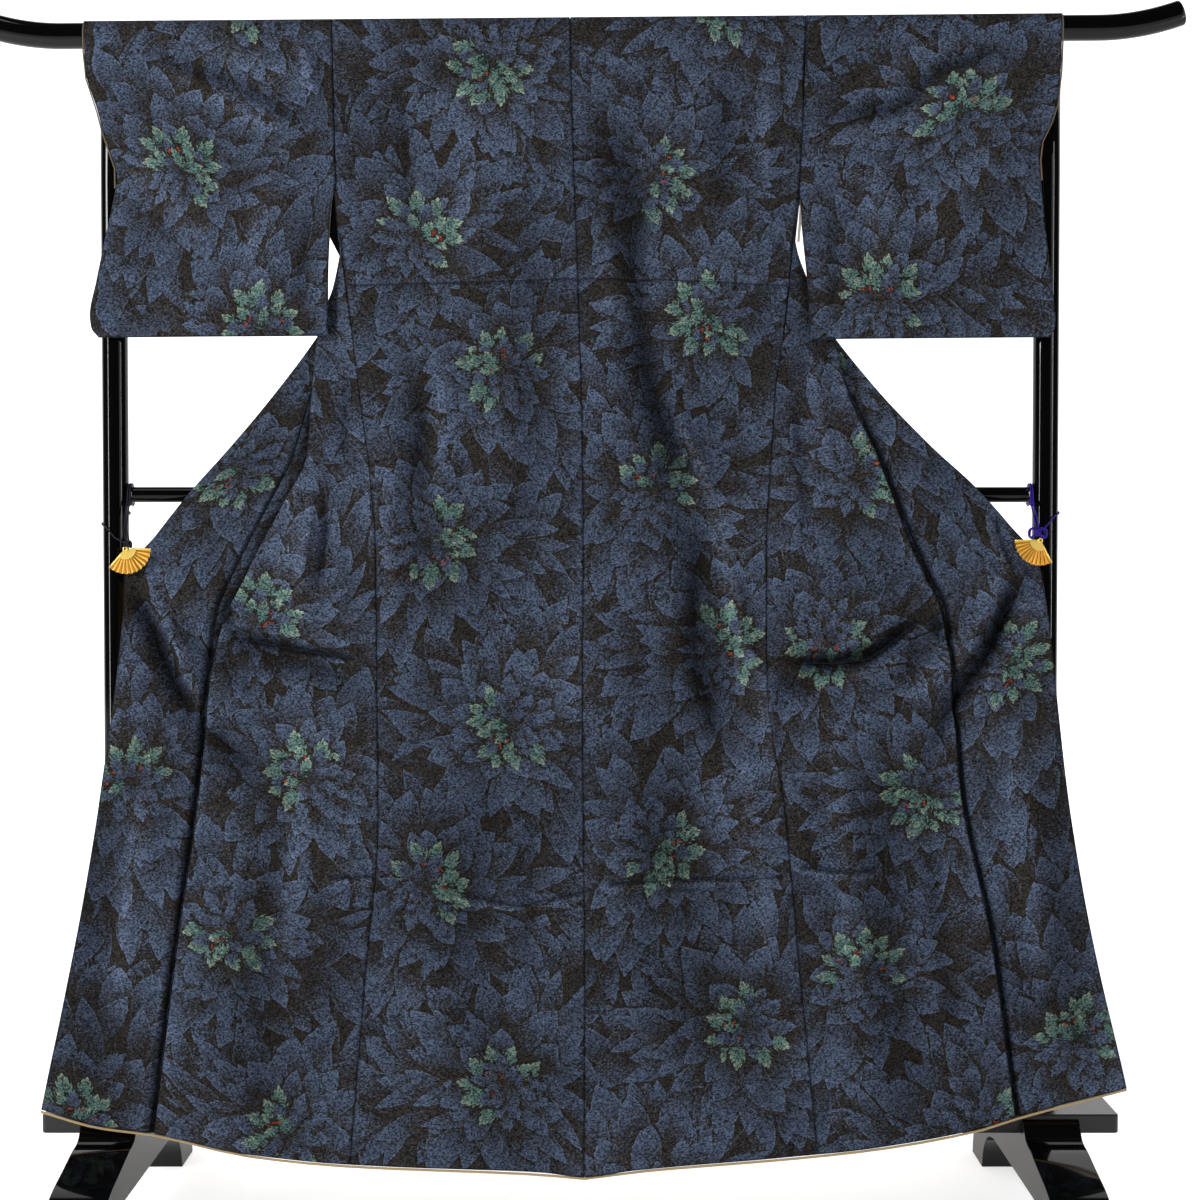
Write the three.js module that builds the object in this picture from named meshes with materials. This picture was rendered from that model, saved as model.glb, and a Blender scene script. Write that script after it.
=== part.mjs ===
// A lined kimono spread on a lacquered kimono stand, seen from its back along +Y.
// Millimetres, +Z up, X across the stand, the floor at z = 0 under the middle of the base board.
import * as THREE from 'three';

// ---------------------------------------------------------------- driving dimensions
const SEAM_GAP = 0.3;               // clearance where two pieces meet
const CLOTH = 1.6;                  // one lined layer: silk, lining and the air between them
const COLLAR_THICKNESS = 3;         // the collar is folded, so four layers
const COLLAR_WIDTH = 55;
const COLLAR_BEHIND = 6;            // from the front edge's middle surface back to the collar's

const RAIL_RADIUS = 16.9;
const RAIL_Z = 1579;                // height of the rail's axis above the middle of the board
const RAIL_SLOPE = 0.008;           // the rail sits a little higher on the right post
const RAIL_HALF = 793;
const RAIL_BEND = 110;              // length of each upturned end
const RAIL_LIFT = 19;               // how far each end turns up
const POST_X = 617;
const POST_RADIUS = 17;
const BAR_Z = 969;
const BAR_RADIUS = 10.3;
const BAR_COLLAR_RADIUS = 13;
const BAR_COLLAR_LENGTH = 5;
const BAR_COLLAR_TAPER = 3;
const BOARD_HALF = 707;
const BOARD_DEPTH = 110;
const BOARD_HEIGHT = 25;
const BOARD_Z = 130;                // underside of the board
const BOARD_CORNER = 6;
const BOARD_BEVEL = 2;
const FOOT_WIDTH = 74;

const RAIL_CLEARANCE = 0.5;
const CLOTH_RADIUS = RAIL_RADIUS + RAIL_CLEARANCE + CLOTH / 2;   // cloth's middle surface over the rail
const TOP_Z = RAIL_Z + CLOTH_RADIUS;
const LENGTH = 1520;                // shoulder to hem at the centre back
const LEAN = 58;                    // how far the hem stands in front of the rail
const LEAN_POWER = 1.15;
const SLEEVE_DROP = 420;
const ARMHOLE = 226;                // down from the shoulder to the end of the sleeve seam
const SIDE_START = 316;             // down from the shoulder to the top of the side seam
const OKUMI_START = 335;
const COLLAR_END = 775;
const PIPING_HEIGHT = 2.6;
const PIPING_THICKNESS = 2.2;
const CUFF_PIPING_WIDTH = 1.6;
const PLEAT_PITCH = 3.6;            // distance between the layers of a fold, middle to middle
const CENTRE_X = -14;               // the garment hangs a little left of the stand's middle

// ---------------------------------------------------------------- tables of the cut as it hangs
// Seams of the back at each distance down from the shoulder.
const BACK_SEAMS = [
  { down: 0, left: -326, centre: -14, right: 296 },
  { down: 145, left: -323, centre: -10, right: 292 },
  { down: 226, left: -320, centre: -8, right: 287 },
  { down: 316, left: -312, centre: -4, right: 278 },
  { down: 415, left: -300, centre: -1, right: 269 },
  { down: 505, left: -289, centre: 2, right: 256 },
  { down: 585, left: -278, centre: 3, right: 251 },
  { down: 705, left: -268, centre: 4, right: 244 },
  { down: 885, left: -266, centre: 3, right: 244 },
  { down: 1065, left: -264, centre: 4, right: 268 },
  { down: 1265, left: -280, centre: 6, right: 286 },
  { down: 1520, left: -300, centre: 5, right: 310 },
];

// Each front panel is three runs with a fold between them: side seam to fold edge, back in to the tuck,
// and out again to the okumi seam.
const FRONT_LEFT = [
  { down: 0, fold: -262, tuck: -165, end: -95 },
  { down: 66, fold: -268, tuck: -125, end: -138 },
  { down: 146, fold: -284, tuck: -118, end: -180 },
  { down: 226, fold: -303, tuck: -140, end: -228 },
  { down: 316, fold: -315, tuck: -190, end: -281 },
  { down: 356, fold: -322, tuck: -212, end: -303 },
  { down: 416, fold: -343, tuck: -240, end: -331 },
  { down: 506, fold: -350, tuck: -256, end: -356 },
  { down: 586, fold: -356, tuck: -268, end: -378 },
  { down: 646, fold: -384, tuck: -308, end: -406 },
  { down: 706, fold: -415, tuck: -355, end: -436 },
  { down: 766, fold: -443, tuck: -407, end: -463 },
  { down: 806, fold: -462, tuck: -446, end: -476 },
  { down: 886, fold: -480, tuck: -471, end: -487 },
  { down: 1065, fold: -497, tuck: -488, end: -503 },
  { down: 1265, fold: -523, tuck: -514, end: -529 },
  { down: 1520, fold: -552, tuck: -543, end: -558 },
];
const FRONT_RIGHT = [
  { down: 0, fold: 232, tuck: 137, end: 67 },
  { down: 66, fold: 238, tuck: 99, end: 111 },
  { down: 146, fold: 254, tuck: 96, end: 158 },
  { down: 226, fold: 272, tuck: 122, end: 208 },
  { down: 316, fold: 284, tuck: 172, end: 262 },
  { down: 356, fold: 297, tuck: 196, end: 285 },
  { down: 416, fold: 327, tuck: 226, end: 314 },
  { down: 506, fold: 347, tuck: 262, end: 354 },
  { down: 586, fold: 382, tuck: 306, end: 389 },
  { down: 646, fold: 404, tuck: 341, end: 412 },
  { down: 706, fold: 425, tuck: 375, end: 434 },
  { down: 766, fold: 450, tuck: 418, end: 460 },
  { down: 806, fold: 468, tuck: 453, end: 477 },
  { down: 886, fold: 481, tuck: 472, end: 487 },
  { down: 1065, fold: 495, tuck: 486, end: 501 },
  { down: 1265, fold: 533, tuck: 524, end: 539 },
  { down: 1520, fold: 564, tuck: 555, end: 570 },
];

// How far each run of a front panel lies behind the surface of the back, the same on both sides.
// open is 1 where a fold lies flat and 0 where it is folded.
const FRONT_DEPTHS = [
  { down: 0, atSide: 38, atFold: 38, atTuck: 38, atEnd: 38, openFold: 1, openTuck: 1 },
  { down: 66, atSide: 32, atFold: 34, atTuck: 38, atEnd: 46, openFold: 1, openTuck: 0.1 },
  { down: 146, atSide: 22.6, atFold: 25, atTuck: 32, atEnd: 42, openFold: 1, openTuck: 0 },
  { down: 226, atSide: 12.9, atFold: 17, atTuck: 26, atEnd: 37, openFold: 0.9, openTuck: 0 },
  { down: 316, atSide: 0, atFold: 8, atTuck: 20, atEnd: 30, openFold: 0.3, openTuck: 0 },
  { down: 356, atSide: 0, atFold: 9, atTuck: 18, atEnd: 27, openFold: 0, openTuck: 0 },
  { down: 416, atSide: 0, atFold: 12, atTuck: 18, atEnd: 25, openFold: 0, openTuck: 0 },
  { down: 506, atSide: 0, atFold: 1, atTuck: 12, atEnd: 12, openFold: 0, openTuck: 0 },
  { down: 586, atSide: 0, atFold: 0, atTuck: 12, atEnd: 9, openFold: 0, openTuck: 0 },
  { down: 646, atSide: 0, atFold: 0, atTuck: 11, atEnd: 8, openFold: 0, openTuck: 0 },
  { down: 706, atSide: 0, atFold: 0, atTuck: 9, atEnd: 7, openFold: 0, openTuck: 0 },
  { down: 766, atSide: 0, atFold: 0, atTuck: 7, atEnd: 7, openFold: 0, openTuck: 0 },
  { down: 806, atSide: 0, atFold: 0, atTuck: 5, atEnd: 7, openFold: 0, openTuck: 0 },
  { down: 886, atSide: 0, atFold: 0, atTuck: 4, atEnd: 7, openFold: 0, openTuck: 0 },
  { down: 1065, atSide: 0, atFold: 0, atTuck: 4, atEnd: 7, openFold: 0, openTuck: 0 },
  { down: 1265, atSide: 0, atFold: 0, atTuck: 4, atEnd: 7, openFold: 0, openTuck: 0 },
  { down: 1520, atSide: 0, atFold: 0, atTuck: 4, atEnd: 7, openFold: 0, openTuck: 0 },
];

// Front edge: the taut line of the collar down to the clip, then the free edge of the okumi.
const FRONT_EDGE = [
  { down: 0, left: -95, right: 67, behind: 38 },
  { down: 66, left: -138, right: 111, behind: 46 },
  { down: 146, left: -180, right: 158, behind: 42 },
  { down: 226, left: -228, right: 208, behind: 37 },
  { down: 316, left: -281, right: 262, behind: 30 },
  { down: 416, left: -342, right: 324, behind: 24 },
  { down: 506, left: -405, right: 390, behind: 16 },
  { down: 586, left: -467, right: 460, behind: 12 },
  { down: 646, left: -514, right: 517, behind: 9 },
  { down: 706, left: -556, right: 562, behind: 7 },
  { down: 766, left: -596, right: 601, behind: 4 },
  { down: 806, left: -598, right: 608, behind: 3 },
  { down: 886, left: -604, right: 617, behind: 0 },
  { down: 1065, left: -627, right: 634, behind: 0 },
  { down: 1265, left: -657, right: 662, behind: 0 },
  { down: 1520, left: -702, right: 711, behind: 0 },
];

const HEM = [
  { x: -702, z: 167 },
  { x: -629, z: 146 },
  { x: -556, z: 136 },
  { x: -423, z: 107 },
  { x: -300, z: 95 },
  { x: -48, z: 84 },
  { x: 5, z: 79 },
  { x: 65, z: 87 },
  { x: 286, z: 106 },
  { x: 385, z: 117 },
  { x: 516, z: 141 },
  { x: 570, z: 158 },
  { x: 711, z: 196 },
];

// Sleeve edges: inner along the armhole and the open edge, outer along the cuff and the closed edge.
// cuff is the outer edge of the layer on the far side of the rail, which passes inside the post.
const SLEEVE_LEFT = [
  { down: 0, inner: -326, outer: -651, cuff: -651 },
  { down: 60, inner: -325, outer: -650, cuff: -638 },
  { down: 126, inner: -323, outer: -632, cuff: -604 },
  { down: 150, inner: -323, outer: -626, cuff: -595 },
  { down: 180, inner: -322, outer: -616, cuff: -595 },
  { down: 212, inner: -320, outer: -607, cuff: -595 },
  { down: 246, inner: -326, outer: -613, cuff: -608 },
  { down: 298, inner: -329, outer: -624, cuff: -624 },
  { down: 348, inner: -330, outer: -634, cuff: -634 },
  { down: 391, inner: -330, outer: -642, cuff: -642 },
  { down: 408, inner: -330, outer: -640, cuff: -640 },
  { down: 420, inner: -330, outer: -631, cuff: -631 },
];
const SLEEVE_RIGHT = [
  { down: 0, inner: 296, outer: 632, cuff: 632 },
  { down: 60, inner: 295, outer: 631, cuff: 628 },
  { down: 126, inner: 293, outer: 625, cuff: 604 },
  { down: 150, inner: 292, outer: 617, cuff: 595 },
  { down: 188, inner: 290, outer: 602, cuff: 595 },
  { down: 226, inner: 287, outer: 604, cuff: 597 },
  { down: 298, inner: 292, outer: 611, cuff: 611 },
  { down: 348, inner: 297, outer: 617, cuff: 617 },
  { down: 400, inner: 300, outer: 622, cuff: 622 },
  { down: 412, inner: 300, outer: 620, cuff: 620 },
  { down: 420, inner: 300, outer: 614, cuff: 614 },
];

// The largest soft folds of the spread cloth: a line from start to end, depth towards +Y for a trough.
const FOLDS = [
  { x0: 40, down0: 130, x1: 62, down1: 400, width: 26, depth: 7 },
  { x0: 62, down0: 400, x1: 140, down1: 640, width: 30, depth: 10 },
  { x0: 140, down0: 640, x1: 180, down1: 960, width: 30, depth: 8 },
  { x0: 188, down0: 640, x1: 222, down1: 900, width: 22, depth: -6 },
  { x0: 90, down0: 420, x1: 175, down1: 700, width: 20, depth: -4 },
  { x0: -215, down0: 480, x1: -205, down1: 760, width: 30, depth: 5 },
  { x0: -120, down0: 900, x1: -150, down1: 1420, width: 45, depth: 5 },
  { x0: 120, down0: 980, x1: 160, down1: 1450, width: 45, depth: 5 },
  { x0: 600, down0: 760, x1: 470, down1: 950, width: 24, depth: 9 },
  { x0: 560, down0: 770, x1: 440, down1: 930, width: 18, depth: -6 },
  { x0: 470, down0: 830, x1: 250, down1: 900, width: 20, depth: 9 },
  { x0: -590, down0: 770, x1: -500, down1: 960, width: 24, depth: 8 },
  { x0: -500, down0: 960, x1: -420, down1: 1030, width: 24, depth: 5 },
  { x0: -470, down0: 830, x1: -290, down1: 880, width: 20, depth: 7 },
  { x0: -360, down0: 600, x1: -375, down1: 800, width: 22, depth: -5 },
  { x0: -400, down0: 1000, x1: -420, down1: 1480, width: 40, depth: 6 },
  { x0: 390, down0: 1000, x1: 420, down1: 1480, width: 40, depth: 6 },
  { x0: -620, down0: 1050, x1: -640, down1: 1480, width: 30, depth: 5 },
  { x0: 610, down0: 1050, x1: 650, down1: 1480, width: 30, depth: 5 },
];

// ---------------------------------------------------------------- materials
function finish(color, roughness, metalness) {
  return new THREE.MeshStandardMaterial({ color, roughness, metalness });
}
const CLOTH_FINISH = finish(0x3b4a66, 0.85, 0);
const PIPING_FINISH = finish(0xcda978, 0.8, 0);
const LACQUER = finish(0x0b0b0d, 0.12, 0);
const GOLD = finish(0xd8a640, 0.35, 0.9);
const CORD_FINISH = finish(0x2b1a80, 0.7, 0);

const part = new THREE.Group();

function addNode(name, geometry, material) {
  const mesh = new THREE.Mesh(geometry, material);
  mesh.name = name;
  part.add(mesh);
  return mesh;
}

// ---------------------------------------------------------------- small maths
// Reads one column of a table at any value of its key column, along a curve that never overshoots.
function readTable(table, key, column, value) {
  const last = table.length - 1;
  if (value <= table[0][key]) return table[0][column];
  if (value >= table[last][key]) return table[last][column];
  let row = 0;
  while (table[row + 1][key] < value) row += 1;
  const slope = (i) => (table[i + 1][column] - table[i][column]) / (table[i + 1][key] - table[i][key]);
  const tangent = (i) => {
    if (i === 0) return slope(0);
    if (i === last) return slope(last - 1);
    const before = slope(i - 1);
    const after = slope(i);
    return before * after <= 0 ? 0 : (2 * before * after) / (before + after);
  };
  const step = table[row + 1][key] - table[row][key];
  const t = (value - table[row][key]) / step;
  const t2 = t * t;
  const t3 = t2 * t;
  return (2 * t3 - 3 * t2 + 1) * table[row][column]
    + (t3 - 2 * t2 + t) * step * tangent(row)
    + (3 * t2 - 2 * t3) * table[row + 1][column]
    + (t3 - t2) * step * tangent(row + 1);
}

const mix = (a, b, t) => a + (b - a) * t;
const smooth = (a, b, value) => THREE.MathUtils.smoothstep(value, a, b);

// Turns a grid of points into a closed wall of the given thickness, half on each side of the points.
// A ring joins its last row to its first.
function wall(rows, thickness, ring = false) {
  const n = rows.length;
  const m = rows[0].length;
  const at = (i, j) => rows[i][j];
  const vertices = [];
  const triangles = [];
  const push = new THREE.Vector3();
  for (const side of [1, -1]) {
    for (let i = 0; i < n; i += 1) {
      for (let j = 0; j < m; j += 1) {
        const up = ring ? at((i + n - 1) % n, j) : at(Math.max(i - 1, 0), j);
        const down = ring ? at((i + 1) % n, j) : at(Math.min(i + 1, n - 1), j);
        const along = new THREE.Vector3().subVectors(down, up);
        const left = at(i, Math.max(j - 1, 0));
        const across = new THREE.Vector3().subVectors(at(i, Math.min(j + 1, m - 1)), left);
        const normal = along.cross(across).normalize();
        push.copy(at(i, j)).addScaledVector(normal, (side * thickness) / 2);
        vertices.push(push.x, push.y, push.z);
      }
    }
  }
  const id = (side, i, j) => side * n * m + (i % n) * m + j;
  const quad = (a, b, c, d) => triangles.push(a, b, c, a, c, d);
  const lastRow = ring ? n : n - 1;
  for (let i = 0; i < lastRow; i += 1) {
    for (let j = 0; j < m - 1; j += 1) {
      quad(id(0, i, j), id(0, i + 1, j), id(0, i + 1, j + 1), id(0, i, j + 1));
      quad(id(1, i, j), id(1, i, j + 1), id(1, i + 1, j + 1), id(1, i + 1, j));
    }
    quad(id(0, i, 0), id(1, i, 0), id(1, i + 1, 0), id(0, i + 1, 0));
    quad(id(0, i, m - 1), id(0, i + 1, m - 1), id(1, i + 1, m - 1), id(1, i, m - 1));
  }
  if (!ring) {
    for (let j = 0; j < m - 1; j += 1) {
      quad(id(0, 0, j), id(0, 0, j + 1), id(1, 0, j + 1), id(1, 0, j));
      quad(id(0, n - 1, j), id(1, n - 1, j), id(1, n - 1, j + 1), id(0, n - 1, j + 1));
    }
  }
  return closedGeometry(vertices, triangles);
}

// Makes a geometry whose faces point out, whichever way its triangles were listed.
function closedGeometry(vertices, triangles) {
  let volume = 0;
  const a = new THREE.Vector3();
  const b = new THREE.Vector3();
  const c = new THREE.Vector3();
  for (let t = 0; t < triangles.length; t += 3) {
    a.fromArray(vertices, triangles[t] * 3);
    b.fromArray(vertices, triangles[t + 1] * 3);
    c.fromArray(vertices, triangles[t + 2] * 3);
    volume += a.dot(b.cross(c));
  }
  const ordered = volume > 0 ? triangles : triangles.slice().reverse();
  const geometry = new THREE.BufferGeometry();
  geometry.setAttribute('position', new THREE.Float32BufferAttribute(vertices, 3));
  geometry.setIndex(ordered);
  return geometry;
}

// A round rod along a list of points, with flat ends; radii may be one number or one for each point.
function rod(points, radii, sides) {
  const vertices = [];
  const triangles = [];
  const count = points.length;
  let reference = new THREE.Vector3(0, 1, 0);
  for (let i = 0; i < count; i += 1) {
    const before = points[Math.max(i - 1, 0)];
    const after = points[Math.min(i + 1, count - 1)];
    const direction = new THREE.Vector3().subVectors(after, before).normalize();
    const right = reference.clone().addScaledVector(direction, -reference.dot(direction)).normalize();
    const up = new THREE.Vector3().crossVectors(direction, right);
    reference = right;
    const radius = Array.isArray(radii) ? radii[i] : radii;
    for (let s = 0; s < sides; s += 1) {
      const angle = (2 * Math.PI * s) / sides;
      const point = points[i].clone()
        .addScaledVector(right, radius * Math.cos(angle))
        .addScaledVector(up, radius * Math.sin(angle));
      vertices.push(point.x, point.y, point.z);
    }
  }
  for (let i = 0; i < count - 1; i += 1) {
    for (let s = 0; s < sides; s += 1) {
      const next = (s + 1) % sides;
      const here = i * sides;
      const there = here + sides;
      triangles.push(here + s, there + s, there + next, here + s, there + next, here + next);
    }
  }
  for (let s = 1; s < sides - 1; s += 1) {
    const end = (count - 1) * sides;
    triangles.push(0, s, s + 1, end, end + s + 1, end + s);
  }
  return closedGeometry(vertices, triangles);
}

// ---------------------------------------------------------------- how the cloth hangs
const railLift = (x) => RAIL_SLOPE * x;
const hemZ = (x) => readTable(HEM, 'x', 'z', x);

// Height of a point that lies a distance down from the shoulder; the hem's own curve stretches it.
function heightAt(x, down) {
  const top = TOP_Z + railLift(x);
  return top - (down * (top - hemZ(x))) / LENGTH;
}

// The near surface: over the rail as an arc, then slowly away from it towards the hem.
function hangY(down) {
  if (down < CLOTH_RADIUS) return -Math.sqrt(CLOTH_RADIUS ** 2 - (CLOTH_RADIUS - down) ** 2);
  return -CLOTH_RADIUS - LEAN * ((down - CLOTH_RADIUS) / (LENGTH - CLOTH_RADIUS)) ** LEAN_POWER;
}

function foldDepth(x, down) {
  let depth = 0;
  for (const fold of FOLDS) {
    const dx = fold.x1 - fold.x0;
    const dd = fold.down1 - fold.down0;
    const length = Math.hypot(dx, dd);
    const along = ((x - fold.x0) * dx + (down - fold.down0) * dd) / (length * length);
    const across = ((x - fold.x0) * dd - (down - fold.down0) * dx) / length;
    const taper = smooth(-0.12, 0.25, along) * (1 - smooth(0.75, 1.12, along));
    depth += fold.depth * taper * Math.exp(-((across / fold.width) ** 2));
  }
  return depth;
}

const skirtY = (x, down) => hangY(down) + foldDepth(x, down);

// Rows of the cloth: close together over the rail, then about a hand apart.
const ARC_STEPS = 5;
const RAIL_ROWS = [];
for (let k = 0; k <= ARC_STEPS; k += 1) {
  RAIL_ROWS.push(Math.max(0.01, CLOTH_RADIUS * (1 - Math.cos((k * Math.PI) / (2 * ARC_STEPS)))));
}
const BODY_ROWS = [45, 80, 125, 175, 226, 270, 316, 356, 400, 450, 500, 550, 600, 650, 700, 750, 790, 830,
  880, 940, 1010, 1090, 1170, 1250, 1340, 1430, LENGTH];
const ALL_ROWS = RAIL_ROWS.concat(BODY_ROWS);
const SHOULDER_GAP = 0.5;           // half the parting between back and front on top of the rail

function backPanel(seamColumn) {
  const columns = 12;
  const inward = seamColumn === 'left' ? 1 : -1;
  const rows = ALL_ROWS.map((down) => {
    const seam = readTable(BACK_SEAMS, 'down', seamColumn, down) + (inward * SEAM_GAP) / 2;
    const centre = readTable(BACK_SEAMS, 'down', 'centre', down) - (inward * SEAM_GAP) / 2;
    const row = [];
    for (let j = 0; j < columns; j += 1) {
      const x = mix(seam, centre, j / (columns - 1));
      const y = Math.min(skirtY(x, down), -SHOULDER_GAP);
      row.push(new THREE.Vector3(x, y, heightAt(x, down)));
    }
    return row;
  });
  return wall(rows, CLOTH);
}

// One cross-section of a front panel, from the side seam round its two folds to the okumi seam.
function frontSection(table, seamColumn, down) {
  const inward = seamColumn === 'left' ? 1 : -1;
  const read = (column) => readTable(table, 'down', column, down);
  const depth = (column) => readTable(FRONT_DEPTHS, 'down', column, down);
  const farSide = down < CLOTH_RADIUS ? -hangY(down) / CLOTH_RADIUS : 1;
  const depthAt = (behind) => (down < CLOTH_RADIUS ? CLOTH_RADIUS * farSide : hangY(down) + behind);
  const openFold = depth('openFold');
  const openTuck = depth('openTuck');
  const side = readTable(BACK_SEAMS, 'down', seamColumn, down) + (inward * SEAM_GAP) / 2;
  const fold = read('fold');
  const tuck = read('tuck');
  const end = read('end');
  const bulge = PLEAT_PITCH / 2;
  const points = [];
  const run = (fromX, fromBehind, toX, toBehind, count) => {
    for (let k = 0; k <= count; k += 1) {
      const t = k / count;
      points.push([mix(fromX, toX, t), mix(fromBehind, toBehind, t)]);
    }
  };
  // Where the panel turns away behind the side seam its own thickness needs more room, and so it does
  // beside the sleeve just below the end of the armhole.
  const turned = smooth(240, SIDE_START, down) * (1 - smooth(350, 430, down));
  const besideSleeve = smooth(140, 200, down) * (1 - smooth(240, SIDE_START, down));
  const sideX = side - inward * (SEAM_GAP + turned) + inward * besideSleeve;
  const pitchFold = PLEAT_PITCH * (1 - openFold);
  const pitchTuck = PLEAT_PITCH * (1 - openTuck);
  run(sideX, depth('atSide'), fold, depth('atFold'), 6);
  points.push([fold + inward * (mix(-bulge, 2.5, openFold)), depth('atFold') + pitchFold / 2]);
  const afterFold = fold + inward * 5 * openFold;
  run(afterFold, depth('atFold') + pitchFold, tuck, depth('atTuck'), 3);
  points.push([tuck + inward * mix(bulge, 2.5, openTuck), depth('atTuck') + pitchTuck / 2]);
  const afterTuck = tuck + inward * 5 * openTuck;
  run(afterTuck, depth('atTuck') + pitchTuck, end, depth('atEnd'), 3);
  return points.map(([x, behind]) => {
    const relief = down > SIDE_START ? foldDepth(x, down) * smooth(SIDE_START, 500, down) : 0;
    return new THREE.Vector3(x, Math.max(depthAt(behind), down < 1 ? SHOULDER_GAP : -1000) + relief,
      heightAt(x, down));
  });
}

function frontPanel(table, seamColumn) {
  return wall(ALL_ROWS.map((down) => frontSection(table, seamColumn, down)), CLOTH);
}

function okumi(table, column) {
  const columns = 9;
  const outward = column === 'left' ? -1 : 1;
  const downs = [OKUMI_START].concat(BODY_ROWS.filter((down) => down > OKUMI_START));
  const rows = downs.map((down) => {
    const seam = readTable(table, 'down', 'end', down) + outward * (SEAM_GAP + 0.2);
    const edge = readTable(FRONT_EDGE, 'down', column, down);
    const reach = Math.max((edge - seam) * outward, 4);
    const atSeam = readTable(FRONT_DEPTHS, 'down', 'atEnd', down);
    const atEdge = readTable(FRONT_EDGE, 'down', 'behind', down);
    const rise = smooth(500, 900, down);
    const row = [];
    for (let j = 0; j < columns; j += 1) {
      const t = (j / (columns - 1)) ** 1.3;
      const x = seam + outward * reach * t;
      const straight = mix(atSeam, atEdge, t);
      const behind = mix(straight, mix(atSeam, atEdge, smooth(0, 0.22, t)), rise);
      const relief = foldDepth(x, down) * smooth(SIDE_START, 500, down);
      row.push(new THREE.Vector3(x, hangY(down) + behind + relief, heightAt(x, down)));
    }
    return row;
  });
  return wall(rows, CLOTH);
}

// The collar: a folded band behind the front edge, from the centre back round the neck to the clip.
function collar(column) {
  const outward = column === 'left' ? -1 : 1;
  const neckX = readTable(FRONT_EDGE, 'down', column, 0);
  const path = [];
  for (const t of [0, 0.35, 0.7]) {
    const x = mix(CENTRE_X + outward * SEAM_GAP / 2, neckX, t);
    path.push(new THREE.Vector3(x, CLOTH_RADIUS + 6, RAIL_Z + railLift(x) + 8 - 4 * t));
  }
  for (const down of [30, 80, 146, 226, 316, 416, 506, 586, 646, 706, COLLAR_END]) {
    const x = readTable(FRONT_EDGE, 'down', column, down);
    const behind = readTable(FRONT_EDGE, 'down', 'behind', down) + COLLAR_BEHIND;
    const relief = foldDepth(x, down) * smooth(SIDE_START, 500, down);
    path.push(new THREE.Vector3(x, hangY(down) + behind + relief, heightAt(x, down)));
  }
  const rows = path.map((point, i) => {
    const before = path[Math.max(i - 1, 0)];
    const after = path[Math.min(i + 1, path.length - 1)];
    const dx = (after.x - before.x) * outward;
    const dz = after.z - before.z;
    const length = Math.hypot(dx, dz);
    const start = i < 2 ? 0 : 1;
    const wide = new THREE.Vector3((start * outward * dz) / length, 0, start ? -dx / length : -1);
    return [0, 0.33, 0.67, 1].map((t) => point.clone().addScaledVector(wide, COLLAR_WIDTH * t));
  });
  return wall(rows, COLLAR_THICKNESS);
}

// A sleeve is one loop of cloth: over the rail, down the near side, under and up the far side.
const SLEEVE_ROWS = [45, 80, 125, 150, 175, 200, 226, 250, 298, 348, 391, 408];
const SLEEVE_FORWARD = 3;           // the lower sleeve is pushed out by the front panel behind it

const sleeveY = (down) => hangY(down) - SLEEVE_FORWARD * smooth(240, 400, down);

function farSleeveY(down, t) {
  const atArmhole = mix(CLOTH_RADIUS, -12, smooth(CLOTH_RADIUS, 260, down));
  const inner = mix(atArmhole, sleeveY(down) + 4.6, smooth(226, 330, down));
  const aroundPost = mix(CLOTH_RADIUS + 1.4, -20.5, smooth(155, 235, down));
  const outer = mix(aroundPost, sleeveY(down) + 3.2, smooth(225, 270, down));
  return mix(inner, outer, smooth(0.1, 0.95, t));
}

// The sleeve hangs with the same stretch as the back that it is sewn to.
function sleeveStretch(column) {
  const seamX = readTable(BACK_SEAMS, 'down', column, 0);
  return (heightAt(seamX, 0) - heightAt(seamX, ARMHOLE)) / ARMHOLE;
}

// The edge of one layer of a sleeve, from the top of the rail down.
function sleeveEdge(table, column, edge, far) {
  const stretch = sleeveStretch(column);
  return RAIL_ROWS.concat(SLEEVE_ROWS).map((down) => {
    const x = readTable(table, 'down', edge, down);
    const overRail = down <= CLOTH_RADIUS;
    const farY = overRail ? -hangY(down) : farSleeveY(down, 1);
    return { down, x, y: far ? farY : sleeveY(down), z: TOP_Z + railLift(x) - down * stretch };
  });
}

function sleeve(table, column) {
  const columns = 8;
  const outward = column === 'left' ? -1 : 1;
  const stretch = sleeveStretch(column);
  const xAt = (down, t, edge) => {
    const sewn = readTable(BACK_SEAMS, 'down', column, down);
    const inner = (down <= ARMHOLE ? sewn : readTable(table, 'down', 'inner', down)) + outward * SEAM_GAP;
    return mix(inner, readTable(table, 'down', edge, down), t);
  };
  const line = (down, edge, far) => {
    const row = [];
    for (let j = 0; j < columns; j += 1) {
      const t = j / (columns - 1);
      const x = xAt(down, t, edge);
      const y = far ? farSleeveY(down, t) : sleeveY(down);
      row.push(new THREE.Vector3(x, y, TOP_Z + railLift(x) - down * stretch));
    }
    return row;
  };
  const rows = [];
  const overRail = RAIL_ROWS.slice(1);
  for (const down of overRail) rows.push(line(down, 'outer', false));
  for (const down of SLEEVE_ROWS) rows.push(line(down, 'outer', false));
  const bottom = line(SLEEVE_DROP, 'outer', false);
  const nearBottom = line(SLEEVE_DROP - 2, 'outer', false);
  const farBottom = line(SLEEVE_DROP - 2, 'cuff', true);
  bottom.forEach((point, j) => {
    point.y = (nearBottom[j].y + farBottom[j].y) / 2;
  });
  rows.push(nearBottom, bottom, farBottom);
  for (const down of SLEEVE_ROWS.slice().reverse()) rows.push(line(down, 'cuff', true));
  for (const down of overRail.slice().reverse()) {
    const row = line(down, 'cuff', false);
    row.forEach((point) => {
      point.y = -point.y;
    });
    rows.push(row);
  }
  const top = line(0, 'outer', false);
  rows.push(top);
  return wall(rows, CLOTH, true);
}

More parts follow.
